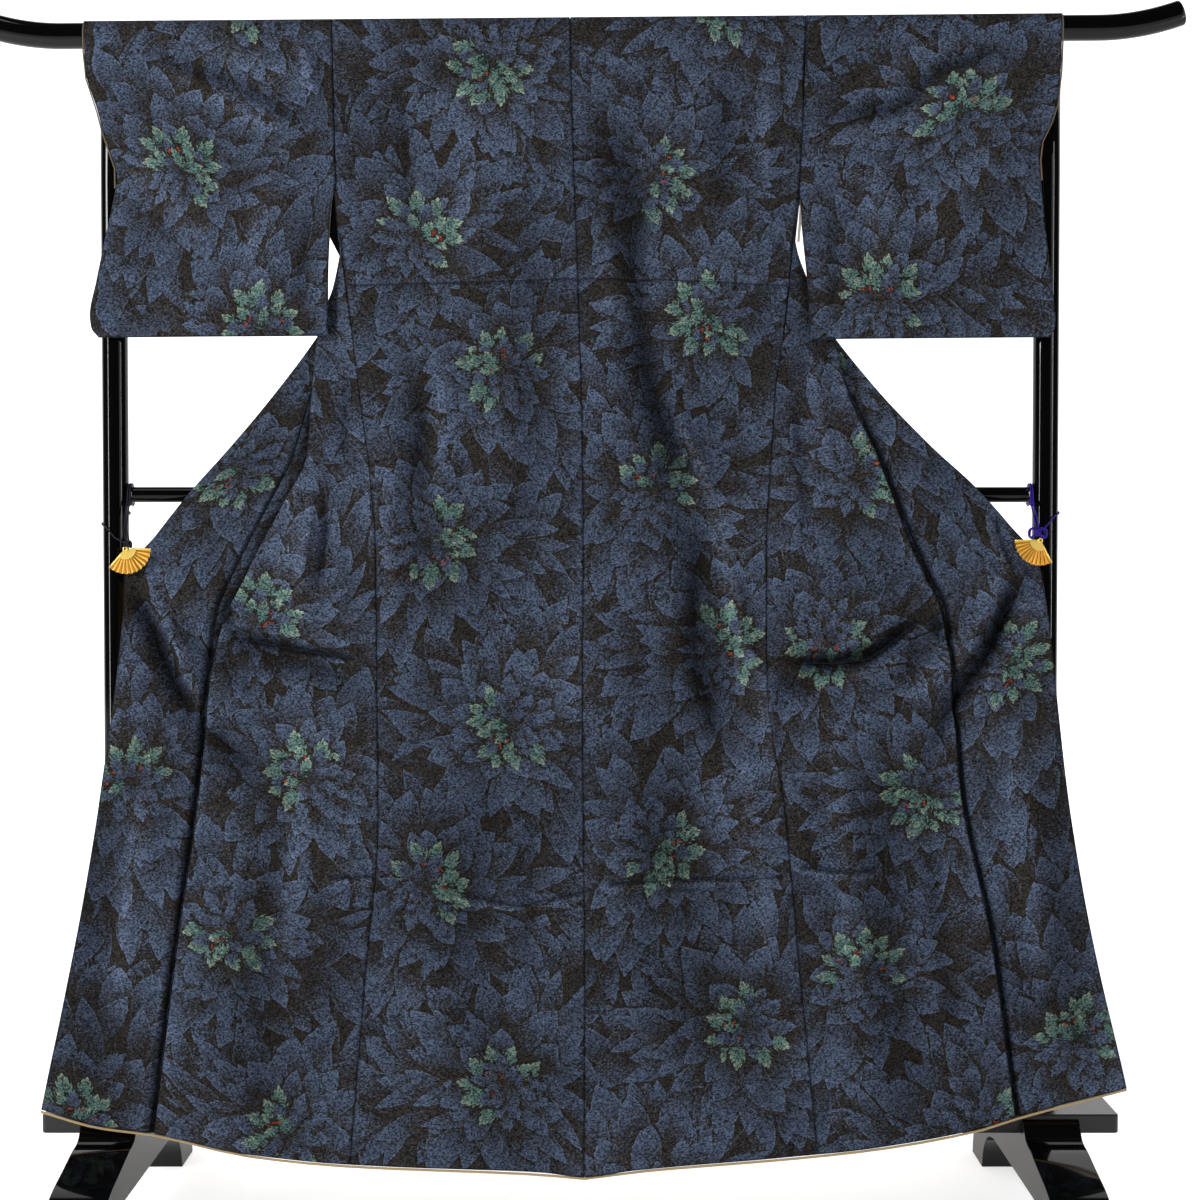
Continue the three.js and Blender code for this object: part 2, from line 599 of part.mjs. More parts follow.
// ---------------------------------------------------------------- the lining that peeps out
// Along the hem the lining's rolled edge hangs just under the outer cloth.
function hemPiping() {
  const path = [];
  const addPoint = (x, behind) => {
    const z = heightAt(x, LENGTH) - SEAM_GAP - PIPING_HEIGHT / 2 - 0.7;
    path.push([x, hangY(LENGTH) + behind + foldDepth(x, LENGTH), z]);
  };
  const lastLeft = FRONT_LEFT[FRONT_LEFT.length - 1];
  const lastRight = FRONT_RIGHT[FRONT_RIGHT.length - 1];
  const lastEdge = FRONT_EDGE[FRONT_EDGE.length - 1];
  const sides = [[lastEdge.left, lastLeft.end, 7], [lastLeft.fold, lastRight.fold, 28],
    [lastRight.end, lastEdge.right, 7]];
  sides.forEach(([from, to, count]) => {
    for (let k = 0; k <= count; k += 1) addPoint(mix(from, to, k / count), 0);
  });
  const half = PIPING_HEIGHT / 2;
  const rows = [half, -half].map((dz) => path.map(([x, y, z]) => new THREE.Vector3(x, y, z + dz)));
  return wall(rows, PIPING_THICKNESS);
}

// Round the cuff opening the lining's edge stands just outside the outer cloth.
function cuffPiping(table, column) {
  const outward = column === 'left' ? -1 : 1;
  const near = sleeveEdge(table, column, 'outer', false).filter((point) => point.down <= ARMHOLE);
  const far = sleeveEdge(table, column, 'cuff', true).filter((point) => point.down <= ARMHOLE);
  const path = near.slice().reverse().concat(far);
  const rows = path.map(({ x, y, z }) => [
    new THREE.Vector3(x + outward * SEAM_GAP * 1.5, y, z),
    new THREE.Vector3(x + outward * (SEAM_GAP * 1.5 + CUFF_PIPING_WIDTH), y, z),
  ]);
  return wall(rows, PIPING_THICKNESS);
}

// ---------------------------------------------------------------- the garment
addNode('back_left', backPanel('left'), CLOTH_FINISH);
addNode('back_right', backPanel('right'), CLOTH_FINISH);
addNode('front_left', frontPanel(FRONT_LEFT, 'left'), CLOTH_FINISH);
addNode('front_right', frontPanel(FRONT_RIGHT, 'right'), CLOTH_FINISH);
addNode('okumi_left', okumi(FRONT_LEFT, 'left'), CLOTH_FINISH);
addNode('okumi_right', okumi(FRONT_RIGHT, 'right'), CLOTH_FINISH);
addNode('collar_left', collar('left'), CLOTH_FINISH);
addNode('collar_right', collar('right'), CLOTH_FINISH);
addNode('sleeve_left', sleeve(SLEEVE_LEFT, 'left'), CLOTH_FINISH);
addNode('sleeve_right', sleeve(SLEEVE_RIGHT, 'right'), CLOTH_FINISH);
addNode('hem_piping', hemPiping(), PIPING_FINISH);
addNode('cuff_piping_left', cuffPiping(SLEEVE_LEFT, 'left'), PIPING_FINISH);
addNode('cuff_piping_right', cuffPiping(SLEEVE_RIGHT, 'right'), PIPING_FINISH);

// ---------------------------------------------------------------- the stand
function rail() {
  const points = [];
  const straight = RAIL_HALF - RAIL_BEND;
  const steps = 5;
  const lift = (t) => RAIL_LIFT * t * t;
  for (let k = steps; k > 0; k -= 1) {
    const t = k / steps;
    const x = -straight - RAIL_BEND * t;
    points.push(new THREE.Vector3(x, 0, RAIL_Z + railLift(x) + lift(t)));
  }
  for (const x of [-straight, straight]) points.push(new THREE.Vector3(x, 0, RAIL_Z + railLift(x)));
  for (let k = 1; k <= steps; k += 1) {
    const t = k / steps;
    const x = straight + RAIL_BEND * t;
    points.push(new THREE.Vector3(x, 0, RAIL_Z + railLift(x) + lift(t)));
  }
  return rod(points, RAIL_RADIUS, 24);
}

function post(x) {
  const top = RAIL_Z + railLift(x) - RAIL_RADIUS - SEAM_GAP;
  const foot = BOARD_Z + BOARD_HEIGHT + SEAM_GAP;
  return rod([new THREE.Vector3(x, 0, foot), new THREE.Vector3(x, 0, top)], POST_RADIUS, 24);
}

function crossbar() {
  const end = POST_X - POST_RADIUS - SEAM_GAP;
  const flat = end - BAR_COLLAR_LENGTH;
  const taper = flat - BAR_COLLAR_TAPER;
  const points = [-end, -flat, -taper, taper, flat, end].map((x) => new THREE.Vector3(x, 0, BAR_Z));
  const radii = [BAR_COLLAR_RADIUS, BAR_COLLAR_RADIUS, BAR_RADIUS, BAR_RADIUS, BAR_COLLAR_RADIUS,
    BAR_COLLAR_RADIUS];
  return rod(points, radii, 20);
}

function roundedRectangle(halfX, halfY, corner) {
  const shape = new THREE.Shape();
  shape.moveTo(-halfX + corner, -halfY);
  shape.lineTo(halfX - corner, -halfY);
  shape.absarc(halfX - corner, -halfY + corner, corner, -Math.PI / 2, 0, false);
  shape.absarc(halfX - corner, halfY - corner, corner, 0, Math.PI / 2, false);
  shape.absarc(-halfX + corner, halfY - corner, corner, Math.PI / 2, Math.PI, false);
  shape.absarc(-halfX + corner, -halfY + corner, corner, Math.PI, 1.5 * Math.PI, false);
  return shape;
}

function board() {
  const shape = roundedRectangle(BOARD_HALF - BOARD_BEVEL, BOARD_DEPTH / 2 - BOARD_BEVEL, BOARD_CORNER);
  const geometry = new THREE.ExtrudeGeometry(shape, {
    depth: BOARD_HEIGHT - 2 * BOARD_BEVEL,
    bevelEnabled: true,
    bevelThickness: BOARD_BEVEL,
    bevelSize: BOARD_BEVEL,
    bevelSegments: 2,
    curveSegments: 4,
  });
  geometry.translate(0, 0, BOARD_Z + BOARD_BEVEL);
  return geometry;
}

// Half of a foot's outline from the middle outwards, then back along the arch underneath.
const FOOT_OUTLINE = [
  { out: 55.3, z: 129.7 },
  { out: 55.3, z: 149 },
  { out: 61, z: 146 },
  { out: 68, z: 137 },
  { out: 75, z: 129 },
  { out: 86, z: 124.5 },
  { out: 105, z: 122 },
  { out: 155, z: 111 },
  { out: 205, z: 100 },
  { out: 245, z: 82 },
  { out: 275, z: 55 },
  { out: 292, z: 25 },
  { out: 298, z: 0 },
  { out: 222, z: 0 },
  { out: 216, z: 20 },
  { out: 200, z: 42 },
  { out: 175, z: 58 },
  { out: 140, z: 66 },
];

function foot(x) {
  const shape = new THREE.Shape();
  FOOT_OUTLINE.forEach((point, i) => {
    if (i === 0) shape.moveTo(point.out, point.z);
    else shape.lineTo(point.out, point.z);
  });
  FOOT_OUTLINE.slice().reverse().forEach((point) => shape.lineTo(-point.out, point.z));
  const geometry = new THREE.ExtrudeGeometry(shape, { depth: FOOT_WIDTH, bevelEnabled: false });
  geometry.translate(0, 0, -FOOT_WIDTH / 2);
  geometry.applyMatrix4(new THREE.Matrix4().makeBasis(
    new THREE.Vector3(0, -1, 0), new THREE.Vector3(0, 0, 1), new THREE.Vector3(-1, 0, 0)));
  geometry.translate(x, 0, 0);
  return geometry;
}

addNode('rail', rail(), LACQUER);
addNode('crossbar', crossbar(), LACQUER);
addNode('base_board', board(), LACQUER);
for (const [side, sign] of [['left', -1], ['right', 1]]) {
  addNode(`post_${side}`, post(sign * POST_X), LACQUER);
  addNode(`foot_${side}`, foot(sign * POST_X), LACQUER);
}

// ---------------------------------------------------------------- fan clips and their ties
const FAN_RADIUS = 33;
const FAN_PLEATS = 11;
const FAN_RELIEF = 1.1;             // half the height of a pleat
const FAN_THICKNESS = 1.2;
const FAN_FRONT_Y = -49;
const JAW_THICKNESS = 1.4;
const JAW_HEIGHT = 9;
const JAW_REACH = 15;
const JAW_DOWN = 752;               // where the clip grips the front edge, down from the shoulder
const JAW_SLACK = 1.4;              // room behind the collar, which stands at a slant
const TIE_TURN_Z = 942;             // where the tie goes round the post
const TIE_RADIUS = 1.3;
const KNOT_DEPTH = 5;

// Pivot of each fan, the angles its blades span, and the size of the knot above it.
const CLIPS = [
  { side: 'left', x: -593, z: 897, from: 0, to: -131, knotX: -590, knotWide: 6, knotHigh: 4.5 },
  { side: 'right', x: 600, z: 908, from: -180, to: -62, knotX: 597, knotWide: 14, knotHigh: 8 },
];

function fan(clip) {
  const rows = [];
  const count = FAN_PLEATS * 2;
  for (let k = 0; k <= count; k += 1) {
    const angle = THREE.MathUtils.degToRad(mix(clip.from, clip.to, k / count));
    const lift = k % 2 === 0 ? -1 : 1;
    const row = [];
    for (const r of [4, 14, 24, FAN_RADIUS]) {
      const y = FAN_FRONT_Y + (lift * FAN_RELIEF * r) / FAN_RADIUS;
      row.push(new THREE.Vector3(clip.x + r * Math.cos(angle), y, clip.z + r * Math.sin(angle)));
    }
    rows.push(row);
  }
  return wall(rows, FAN_THICKNESS);
}

// The spring clip: a bent strip that grips the cloth's edge, from behind the fan to behind the collar.
function jaw(clip) {
  const outward = Math.sign(clip.x);
  const down = JAW_DOWN;
  const edgeX = readTable(FRONT_EDGE, 'down', clip.side, down);
  const front = FAN_FRONT_Y + FAN_RELIEF + FAN_THICKNESS / 2 + SEAM_GAP + JAW_THICKNESS / 2 + 0.2;
  const collarY = hangY(down) + readTable(FRONT_EDGE, 'down', 'behind', down) + COLLAR_BEHIND
    + foldDepth(edgeX, down);
  const back = collarY + COLLAR_THICKNESS / 2 + SEAM_GAP + JAW_THICKNESS / 2 + JAW_SLACK;
  const bendX = edgeX + outward * 5;
  const radius = (back - front) / 2;
  const path = [[bendX - outward * (JAW_REACH + 5), front]];
  for (let k = 0; k <= 6; k += 1) {
    const angle = (-Math.PI / 2) + (k * Math.PI) / 6;
    path.push([bendX + outward * 4 * Math.cos(angle), front + radius + radius * Math.sin(angle)]);
  }
  path.push([bendX - outward * (JAW_REACH + 5), back]);
  const z = heightAt(edgeX, down);
  const rows = path.map(([x, y]) => [z - JAW_HEIGHT / 2, z + JAW_HEIGHT / 2]
    .map((height) => new THREE.Vector3(x, y, height)));
  return wall(rows, JAW_THICKNESS);
}

// The knot sits on the fan's upper edge, over its pivot.
const knotZ = (clip) => clip.z + FAN_THICKNESS / 2 + FAN_RELIEF + clip.knotHigh;

function knot(clip) {
  const geometry = new THREE.SphereGeometry(1, 12, 8);
  geometry.rotateX(Math.PI / 2);
  geometry.scale(clip.knotWide, KNOT_DEPTH, clip.knotHigh);
  geometry.translate(clip.knotX, FAN_FRONT_Y, knotZ(clip));
  return geometry;
}

// From the knot up the post's near side, once round the post, up to the crossbar and once round that.
function tie(clip) {
  const outward = Math.sign(clip.x);
  const onPost = POST_RADIUS + TIE_RADIUS + SEAM_GAP + 0.3;
  const onBar = BAR_RADIUS + TIE_RADIUS + SEAM_GAP + 0.3;
  const start = knotZ(clip) + clip.knotHigh + SEAM_GAP + 0.1;
  const points = [new THREE.Vector3(clip.knotX, FAN_FRONT_Y, start)];
  points.push(new THREE.Vector3(clip.knotX, FAN_FRONT_Y + 2, start + 4));
  points.push(new THREE.Vector3(clip.knotX + outward * 3, FAN_FRONT_Y + 12, start + 9));
  const steps = 16;
  for (let k = 0; k <= steps; k += 1) {
    const angle = -Math.PI / 2 - 0.55 + (2 * Math.PI * k) / steps;
    const x = outward * (POST_X + onPost * Math.cos(angle));
    points.push(new THREE.Vector3(x, onPost * Math.sin(angle), TIE_TURN_Z + (5 * k) / steps));
  }
  const barX = outward * (POST_X - POST_RADIUS - 13);
  points.push(new THREE.Vector3(barX + outward * 7, -18, TIE_TURN_Z + 13));
  for (let k = 0; k <= 12; k += 1) {
    const angle = Math.PI + (2 * Math.PI * k) / 12;
    const x = barX + outward * (3 - (5 * k) / 12);
    points.push(new THREE.Vector3(x, onBar * Math.cos(angle), BAR_Z - onBar * Math.sin(angle)));
  }
  return rod(points, TIE_RADIUS, 6);
}

for (const clip of CLIPS) {
  addNode(`fan_${clip.side}`, fan(clip), GOLD);
  addNode(`clip_${clip.side}`, jaw(clip), GOLD);
  addNode(`knot_${clip.side}`, knot(clip), CORD_FINISH);
  addNode(`tie_${clip.side}`, tie(clip), CORD_FINISH);
}

export default part;
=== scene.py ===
"""A lined kimono on a lacquered kimono stand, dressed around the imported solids.

Lengths are in millimetres until a mesh is made, in the solids' frame: +Z up, +X along the rail, +Y away
from the camera. "down" is a distance along the cloth from the shoulder.
"""

import math

import bpy
import numpy as np
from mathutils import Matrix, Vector


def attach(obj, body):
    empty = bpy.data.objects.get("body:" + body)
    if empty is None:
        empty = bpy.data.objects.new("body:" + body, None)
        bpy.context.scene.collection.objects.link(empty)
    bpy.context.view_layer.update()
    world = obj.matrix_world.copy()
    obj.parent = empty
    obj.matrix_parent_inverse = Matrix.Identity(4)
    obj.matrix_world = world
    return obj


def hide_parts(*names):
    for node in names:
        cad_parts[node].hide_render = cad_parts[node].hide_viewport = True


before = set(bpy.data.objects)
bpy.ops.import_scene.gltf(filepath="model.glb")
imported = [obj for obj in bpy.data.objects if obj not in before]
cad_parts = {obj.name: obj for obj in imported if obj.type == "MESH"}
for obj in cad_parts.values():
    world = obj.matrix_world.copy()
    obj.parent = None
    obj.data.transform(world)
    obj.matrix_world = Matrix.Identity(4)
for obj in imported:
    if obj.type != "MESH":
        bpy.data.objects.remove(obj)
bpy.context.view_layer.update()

MM = 0.001

# ------------------------------------------------------------------ sizes shared with the solids
SEAM_GAP = 0.3
CLOTH = 1.6
HALF = CLOTH / 2
COLLAR_THICKNESS = 3.0
COLLAR_WIDTH = 55
COLLAR_BEHIND = 6
RAIL_RADIUS = 16.9
RAIL_Z = 1579
RAIL_SLOPE = 0.008
RAIL_HALF = 793
RAIL_BEND = 110
RAIL_LIFT = 19
POST_X = 617
POST_RADIUS = 17
BAR_Z = 969
BAR_RADIUS = 10.3
BAR_COLLAR_RADIUS = 13
BOARD_HALF = 707
BOARD_DEPTH = 110
BOARD_HEIGHT = 25
BOARD_Z = 130
BOARD_CORNER = 6
FOOT_WIDTH = 74
RAIL_CLEARANCE = 0.5
CLOTH_RADIUS = RAIL_RADIUS + RAIL_CLEARANCE + CLOTH / 2
TOP_Z = RAIL_Z + CLOTH_RADIUS
LENGTH = 1520
LEAN = 58
LEAN_POWER = 1.15
SLEEVE_DROP = 420
ARMHOLE = 226
SIDE_START = 316
OKUMI_START = 335
COLLAR_END = 775
PLEAT_PITCH = 3.6
CENTRE_X = -14
SLEEVE_FORWARD = 3

CREASE_SCALE = 1.7    # the listed creases are written shallower than they hang
SLEEVE_SAG = {"left": 4, "right": 15}   # how much lower the sleeves' bottoms hang than their solids'
SLEEVE_WIDTH = 325
BACK_WIDTH = 306
OKUMI_WIDTH = 150

GRID = 3.2            # spacing of the cloth's mesh where the camera sees it
COARSE = 7.0          # and where it doesn't
COLLAR_GRID = 4.0


class Table:
    """Named columns over the first one, read along a curve that never overshoots."""

    def __init__(self, names, rows):
        self.names = names.split()
        self.columns = np.array(rows, float).T

    def at(self, name, where):
        key, value = self.columns[0], self.columns[self.names.index(name)]
        where = np.clip(np.asarray(where, float), key[0], key[-1])
        step = np.diff(key)
        slope = np.diff(value) / step
        before, after = slope[:-1], slope[1:]
        product = before * after
        total = np.where(before + after == 0, 1.0, before + after)
        inner = np.where(product <= 0, 0.0, 2 * product / total)
        tangent = np.concatenate([slope[:1], inner, slope[-1:]])
        row = np.clip(np.searchsorted(key, where, side="right") - 1, 0, len(step) - 1)
        t = (where - key[row]) / step[row]
        t2, t3 = t * t, t * t * t
        return ((2 * t3 - 3 * t2 + 1) * value[row] + (t3 - 2 * t2 + t) * step[row] * tangent[row]
                + (3 * t2 - 2 * t3) * value[row + 1] + (t3 - t2) * step[row] * tangent[row + 1])


BACK_SEAMS = Table("down left centre right", [
    (0, -326, -14, 296), (145, -323, -10, 292), (226, -320, -8, 287), (316, -312, -4, 278),
    (415, -300, -1, 269), (505, -289, 2, 256), (585, -278, 3, 251), (705, -268, 4, 244),
    (885, -266, 3, 244), (1065, -264, 4, 268), (1265, -280, 6, 286), (1520, -300, 5, 310)])
FRONT_LEFT = Table("down fold tuck end", [
    (0, -262, -165, -95), (66, -268, -125, -138), (146, -284, -118, -180), (226, -303, -140, -228),
    (316, -315, -190, -281), (356, -322, -212, -303), (416, -343, -240, -331), (506, -350, -256, -356),
    (586, -356, -268, -378), (646, -384, -308, -406), (706, -415, -355, -436), (766, -443, -407, -463),
    (806, -462, -446, -476), (886, -480, -471, -487), (1065, -497, -488, -503), (1265, -523, -514, -529),
    (1520, -552, -543, -558)])
FRONT_RIGHT = Table("down fold tuck end", [
    (0, 232, 137, 67), (66, 238, 99, 111), (146, 254, 96, 158), (226, 272, 122, 208),
    (316, 284, 172, 262), (356, 297, 196, 285), (416, 327, 226, 314), (506, 347, 262, 354),
    (586, 382, 306, 389), (646, 404, 341, 412), (706, 425, 375, 434), (766, 450, 418, 460),
    (806, 468, 453, 477), (886, 481, 472, 487), (1065, 495, 486, 501), (1265, 533, 524, 539),
    (1520, 564, 555, 570)])
FRONT_DEPTHS = Table("down at_side at_fold at_tuck at_end open_fold open_tuck", [
    (0, 38, 38, 38, 38, 1, 1), (66, 32, 34, 38, 46, 1, 0.1), (146, 22.6, 25, 32, 42, 1, 0),
    (226, 12.9, 17, 26, 37, 0.9, 0), (316, 0, 8, 20, 30, 0.3, 0), (356, 0, 9, 18, 27, 0, 0),
    (416, 0, 12, 18, 25, 0, 0), (506, 0, 1, 12, 12, 0, 0), (586, 0, 0, 12, 9, 0, 0),
    (646, 0, 0, 11, 8, 0, 0), (706, 0, 0, 9, 7, 0, 0), (766, 0, 0, 7, 7, 0, 0),
    (806, 0, 0, 5, 7, 0, 0), (886, 0, 0, 4, 7, 0, 0), (1520, 0, 0, 4, 7, 0, 0)])
FRONT_EDGE = Table("down left right behind", [
    (0, -95, 67, 38), (66, -138, 111, 46), (146, -180, 158, 42), (226, -228, 208, 37),
    (316, -281, 262, 30), (416, -342, 324, 24), (506, -405, 390, 16), (586, -467, 460, 12),
    (646, -514, 517, 9), (706, -556, 562, 7), (766, -596, 601, 4), (806, -598, 608, 3),
    (886, -604, 617, 0), (1065, -627, 634, 0), (1265, -657, 662, 0), (1520, -702, 711, 0)])
HEM = Table("x z", [
    (-702, 167), (-629, 146), (-556, 136), (-423, 107), (-300, 95), (-48, 84), (5, 79), (65, 87),
    (286, 106), (385, 117), (516, 141), (570, 158), (711, 196)])
SLEEVE_LEFT = Table("down inner outer cuff", [
    (0, -326, -651, -651), (60, -325, -650, -638), (126, -323, -632, -604), (150, -323, -626, -595),
    (180, -322, -616, -595), (212, -320, -607, -595), (246, -326, -613, -608), (298, -329, -624, -624),
    (348, -330, -634, -634), (391, -330, -642, -642), (408, -330, -640, -640), (420, -330, -631, -631)])
SLEEVE_RIGHT = Table("down inner outer cuff", [
    (0, 296, 632, 632), (60, 295, 631, 628), (126, 293, 625, 604), (150, 292, 617, 595),
    (188, 290, 602, 595), (226, 287, 604, 597), (298, 292, 611, 611), (348, 297, 617, 617),
    (400, 300, 622, 622), (412, 300, 620, 620), (420, 300, 614, 614)])
TUCK = Table("x down", [(-306, 357), (-224, 355), (-95, 351), (-9, 346), (98, 351), (271, 363)])
FOLDS = [  # x0, down0, x1, down1, width, depth: the largest soft folds, as in the solids
    (40, 130, 62, 400, 26, 7), (62, 400, 140, 640, 30, 10), (140, 640, 180, 960, 30, 8),
    (188, 640, 222, 900, 22, -6), (90, 420, 175, 700, 20, -4), (-215, 480, -205, 760, 30, 5),
    (-120, 900, -150, 1420, 45, 5), (120, 980, 160, 1450, 45, 5), (600, 760, 470, 950, 24, 9),
    (560, 770, 440, 930, 18, -6), (470, 830, 250, 900, 20, 9), (-590, 770, -500, 960, 24, 8),
    (-500, 960, -420, 1030, 24, 5), (-470, 830, -290, 880, 20, 7), (-360, 600, -375, 800, 22, -5),
    (-400, 1000, -420, 1480, 40, 6), (390, 1000, 420, 1480, 40, 6), (-620, 1050, -640, 1480, 30, 5),
    (610, 1050, 650, 1480, 30, 5)]

# Creases: points of the line as (x, down), width, depth (a ridge is negative), sharpness.
BODY_CREASES = [
    ([(55, 144), (65, 187), (78, 254), (74, 321), (85, 421), (100, 511), (143, 604), (163, 658)], 13, 5, 0),
    ([(163, 658), (152, 760), (148, 849), (175, 929), (191, 1004)], 11, 4, 0),
    ([(118, 520), (160, 600), (181, 660)], 9, -5, 0),
    ([(188, 683), (197, 733), (208, 784), (214, 835), (242, 889), (251, 957), (262, 1048)], 9, -5, 0.4),
    ([(30, 160), (36, 300), (48, 430)], 16, -3, 0),
    ([(-209, 470), (-206, 545), (-209, 640)], 12, 3, 0),
    ([(-182, 430), (-178, 560), (-186, 690)], 15, -2.5, 0),
    ([(-70, 340), (-62, 520), (-74, 760)], 22, 2, 0),
    ([(-250, 560), (-244, 720), (-250, 860)], 10, -2, 0),
    ([(-467, 826), (-432, 834), (-367, 844), (-275, 853)], 8, 5, 0.5),
    ([(-460, 806), (-420, 813), (-350, 826), (-290, 836)], 8, -4, 0),
    ([(246, 854), (290, 864), (331, 870), (378, 867), (425, 826), (468, 821)], 9, 7, 0.5),
    ([(262, 876), (330, 890), (395, 882), (440, 846)], 9, -5, 0.2),
    ([(280, 838), (340, 848), (385, 836), (420, 806)], 8, -4, 0),
    ([(-592, 769), (-559, 837), (-533, 903), (-506, 944), (-493, 967)], 11, 5, 0.2),
    ([(-575, 770), (-536, 838), (-508, 905), (-480, 950)], 10, -4, 0),
    ([(-486, 955), (-455, 985), (-426, 1009)], 9, 4, 0.3),
    ([(-560, 800), (-500, 850), (-420, 905)], 15, 3, 0),
    ([(578, 766), (554, 825), (535, 877), (492, 937), (469, 977), (448, 1026)], 11, 6, 0.2),
    ([(596, 775), (578, 840), (556, 898), (520, 955)], 10, -4, 0),
    ([(556, 770), (530, 826), (500, 880), (466, 925)], 9, -4, 0),
    ([(540, 790), (470, 860), (400, 905)], 14, 4, 0),
    ([(-346, 640), (-358, 711), (-365, 762)], 9, -5, 0),
    ([(-330, 600), (-338, 700), (-344, 790)], 9, 3, 0),
    ([(-326, 1144), (-300, 1142), (-269, 1139)], 4, -1.6, 1),
    ([(-153, 1162), (-77, 1173), (5, 1148)], 4, -1.6, 1),
    ([(48, 1143), (132, 1145), (266, 1149)], 4, -1.6, 1),
    ([(288, 1137), (330, 1148), (382, 1152)], 4, -1.8, 1),
    ([(-150, 1174), (-76, 1184), (0, 1162)], 6, 1.2, 0.5),
    ([(50, 1156), (132, 1158), (262, 1161)], 6, 1.2, 0.5),
    ([(-60, 980), (-72, 1150), (-64, 1330)], 18, 2, 0),
    ([(90, 1000), (84, 1160), (96, 1360)], 18, 2, 0),
    ([(220, 960), (236, 1100), (250, 1280)], 14, -3, 0),
    ([(-350, 900), (-366, 1100), (-392, 1350)], 18, -3, 0),
    ([(330, 950), (350, 1150), (372, 1380)], 18, -3, 0),
    ([(450, 1080), (470, 1250), (500, 1430)], 14, 3, 0),
    ([(-560, 1000), (-580, 1180), (-610, 1400)], 16, -3, 0),
    ([(560, 960), (580, 1160), (612, 1400)], 16, -3, 0),
    ([(300, 430), (315, 520), (330, 620)], 9, -3, 0),
    ([(280, 480), (290, 600), (300, 740)], 8, 3, 0),
    ([(-300, 470), (-306, 540), (-312, 600)], 8, 2.5, 0),
    ([(-240, 60), (-228, 180), (-222, 300)], 14, 2.5, 0),
    ([(-150, 50), (-140, 190), (-138, 330)], 18, -2, 0),
    ([(200, 60), (190, 170), (188, 290)], 14, 2.5, 0),
    ([(250, 70), (244, 160), (246, 240)], 9, -2.5, 0),
]
SLEEVE_CREASES = [
    ([(-580, 40), (-505, 72), (-439, 95), (-373, 130), (-339, 145)], 13, 4, 0),
    ([(-560, 62), (-490, 96), (-430, 122), (-366, 156)], 14, -4, 0),
    ([(-540, 18), (-460, 46), (-390, 70), (-340, 96)], 12, -3, 0),
    ([(-374, 22), (-358, 52), (-346, 112)], 7, -3.5, 0),
    ([(-600, 180), (-540, 230), (-470, 300)], 22, -3, 0),
    ([(-400, 200), (-420, 300), (-430, 400)], 20, -2.5, 0),
    ([(-350, 230), (-360, 320), (-362, 400)], 10, 2.5, 0),
    ([(595, 36), (484, 71), (418, 127), (378, 132), (305, 150)], 13, 4.5, 0),
    ([(580, 62), (490, 100), (430, 152), (370, 160), (310, 176)], 14, -4, 0),
    ([(560, 20), (470, 46), (400, 92), (330, 112)], 12, -3, 0),
    ([(560, 160), (500, 230), (450, 310)], 22, -3, 0),
    ([(380, 210), (400, 300), (404, 400)], 20, -2.5, 0),
    ([(330, 240), (336, 320), (334, 400)], 10, 2.5, 0),
    ([(282, 20), (290, 60), (300, 110)], 7, -3, 0),
]


# ------------------------------------------------------------------ small maths
def mix(a, b, t):
    return a + (b - a) * t


def smooth(a, b, value):
    t = np.clip((value - a) / (b - a), 0, 1)
    return t * t * (3 - 2 * t)


def rail_lift(x):
    return RAIL_SLOPE * x


def height_at(x, down):
    top = TOP_Z + rail_lift(x)
    return top - down * (top - HEM.at("z", x)) / LENGTH


def hang_y(down):
    down = np.asarray(down, float)
    over = -np.sqrt(np.maximum(CLOTH_RADIUS ** 2 - (CLOTH_RADIUS - np.minimum(down, CLOTH_RADIUS)) ** 2, 0))
    below = np.maximum(down - CLOTH_RADIUS, 0) / (LENGTH - CLOTH_RADIUS)
    return np.where(down < CLOTH_RADIUS, over, -CLOTH_RADIUS - LEAN * below ** LEAN_POWER)


def fold_depth(x, down):
    depth = np.zeros(np.broadcast(x, down).shape)
    for x0, down0, x1, down1, width, height in FOLDS:
        dx, dd = x1 - x0, down1 - down0
        length = math.hypot(dx, dd)
        along = ((x - x0) * dx + (down - down0) * dd) / length ** 2
        across = ((x - x0) * dd - (down - down0) * dx) / length
        taper = smooth(-0.12, 0.25, along) * (1 - smooth(0.75, 1.12, along))
        depth += height * taper * np.exp(-((across / width) ** 2))
    return depth


def crease_depth(x, down, creases):
    """Soft troughs and ridges along given lines that die away at both ends."""
    x, down = np.broadcast_arrays(np.asarray(x, float), np.asarray(down, float))
    depth = np.zeros(x.shape)
    for points, width, height, sharp in creases:
        p = np.array(points, float)
        steps = np.hypot(*np.diff(p, axis=0).T)
        total = steps.sum()
        reach = 4 * width
        near = ((x > p[:, 0].min() - reach) & (x < p[:, 0].max() + reach)
                & (down > p[:, 1].min() - reach) & (down < p[:, 1].max() + reach))
        px, pd = x[near], down[near]
        best = np.full(px.shape, 1e9)
        where = np.zeros(px.shape)
        start = 0.0
        for (ax, ad), (bx, bd), length in zip(p[:-1], p[1:], steps):
            t = np.clip(((px - ax) * (bx - ax) + (pd - ad) * (bd - ad)) / length ** 2, 0, 1)
            away = np.hypot(px - mix(ax, bx, t), pd - mix(ad, bd, t))
            closer = away < best
            best = np.where(closer, away, best)
            where = np.where(closer, (start + t * length) / total, where)
            start += length
        taper = smooth(0, 0.3, where) * (1 - smooth(0.7, 1, where)) * 0.92 + 0.08
        round_one = np.exp(-((best / width) ** 2))
        sharp_one = np.exp(-best / width)
        depth[near] += height * taper * mix(round_one, sharp_one, sharp)
    return depth


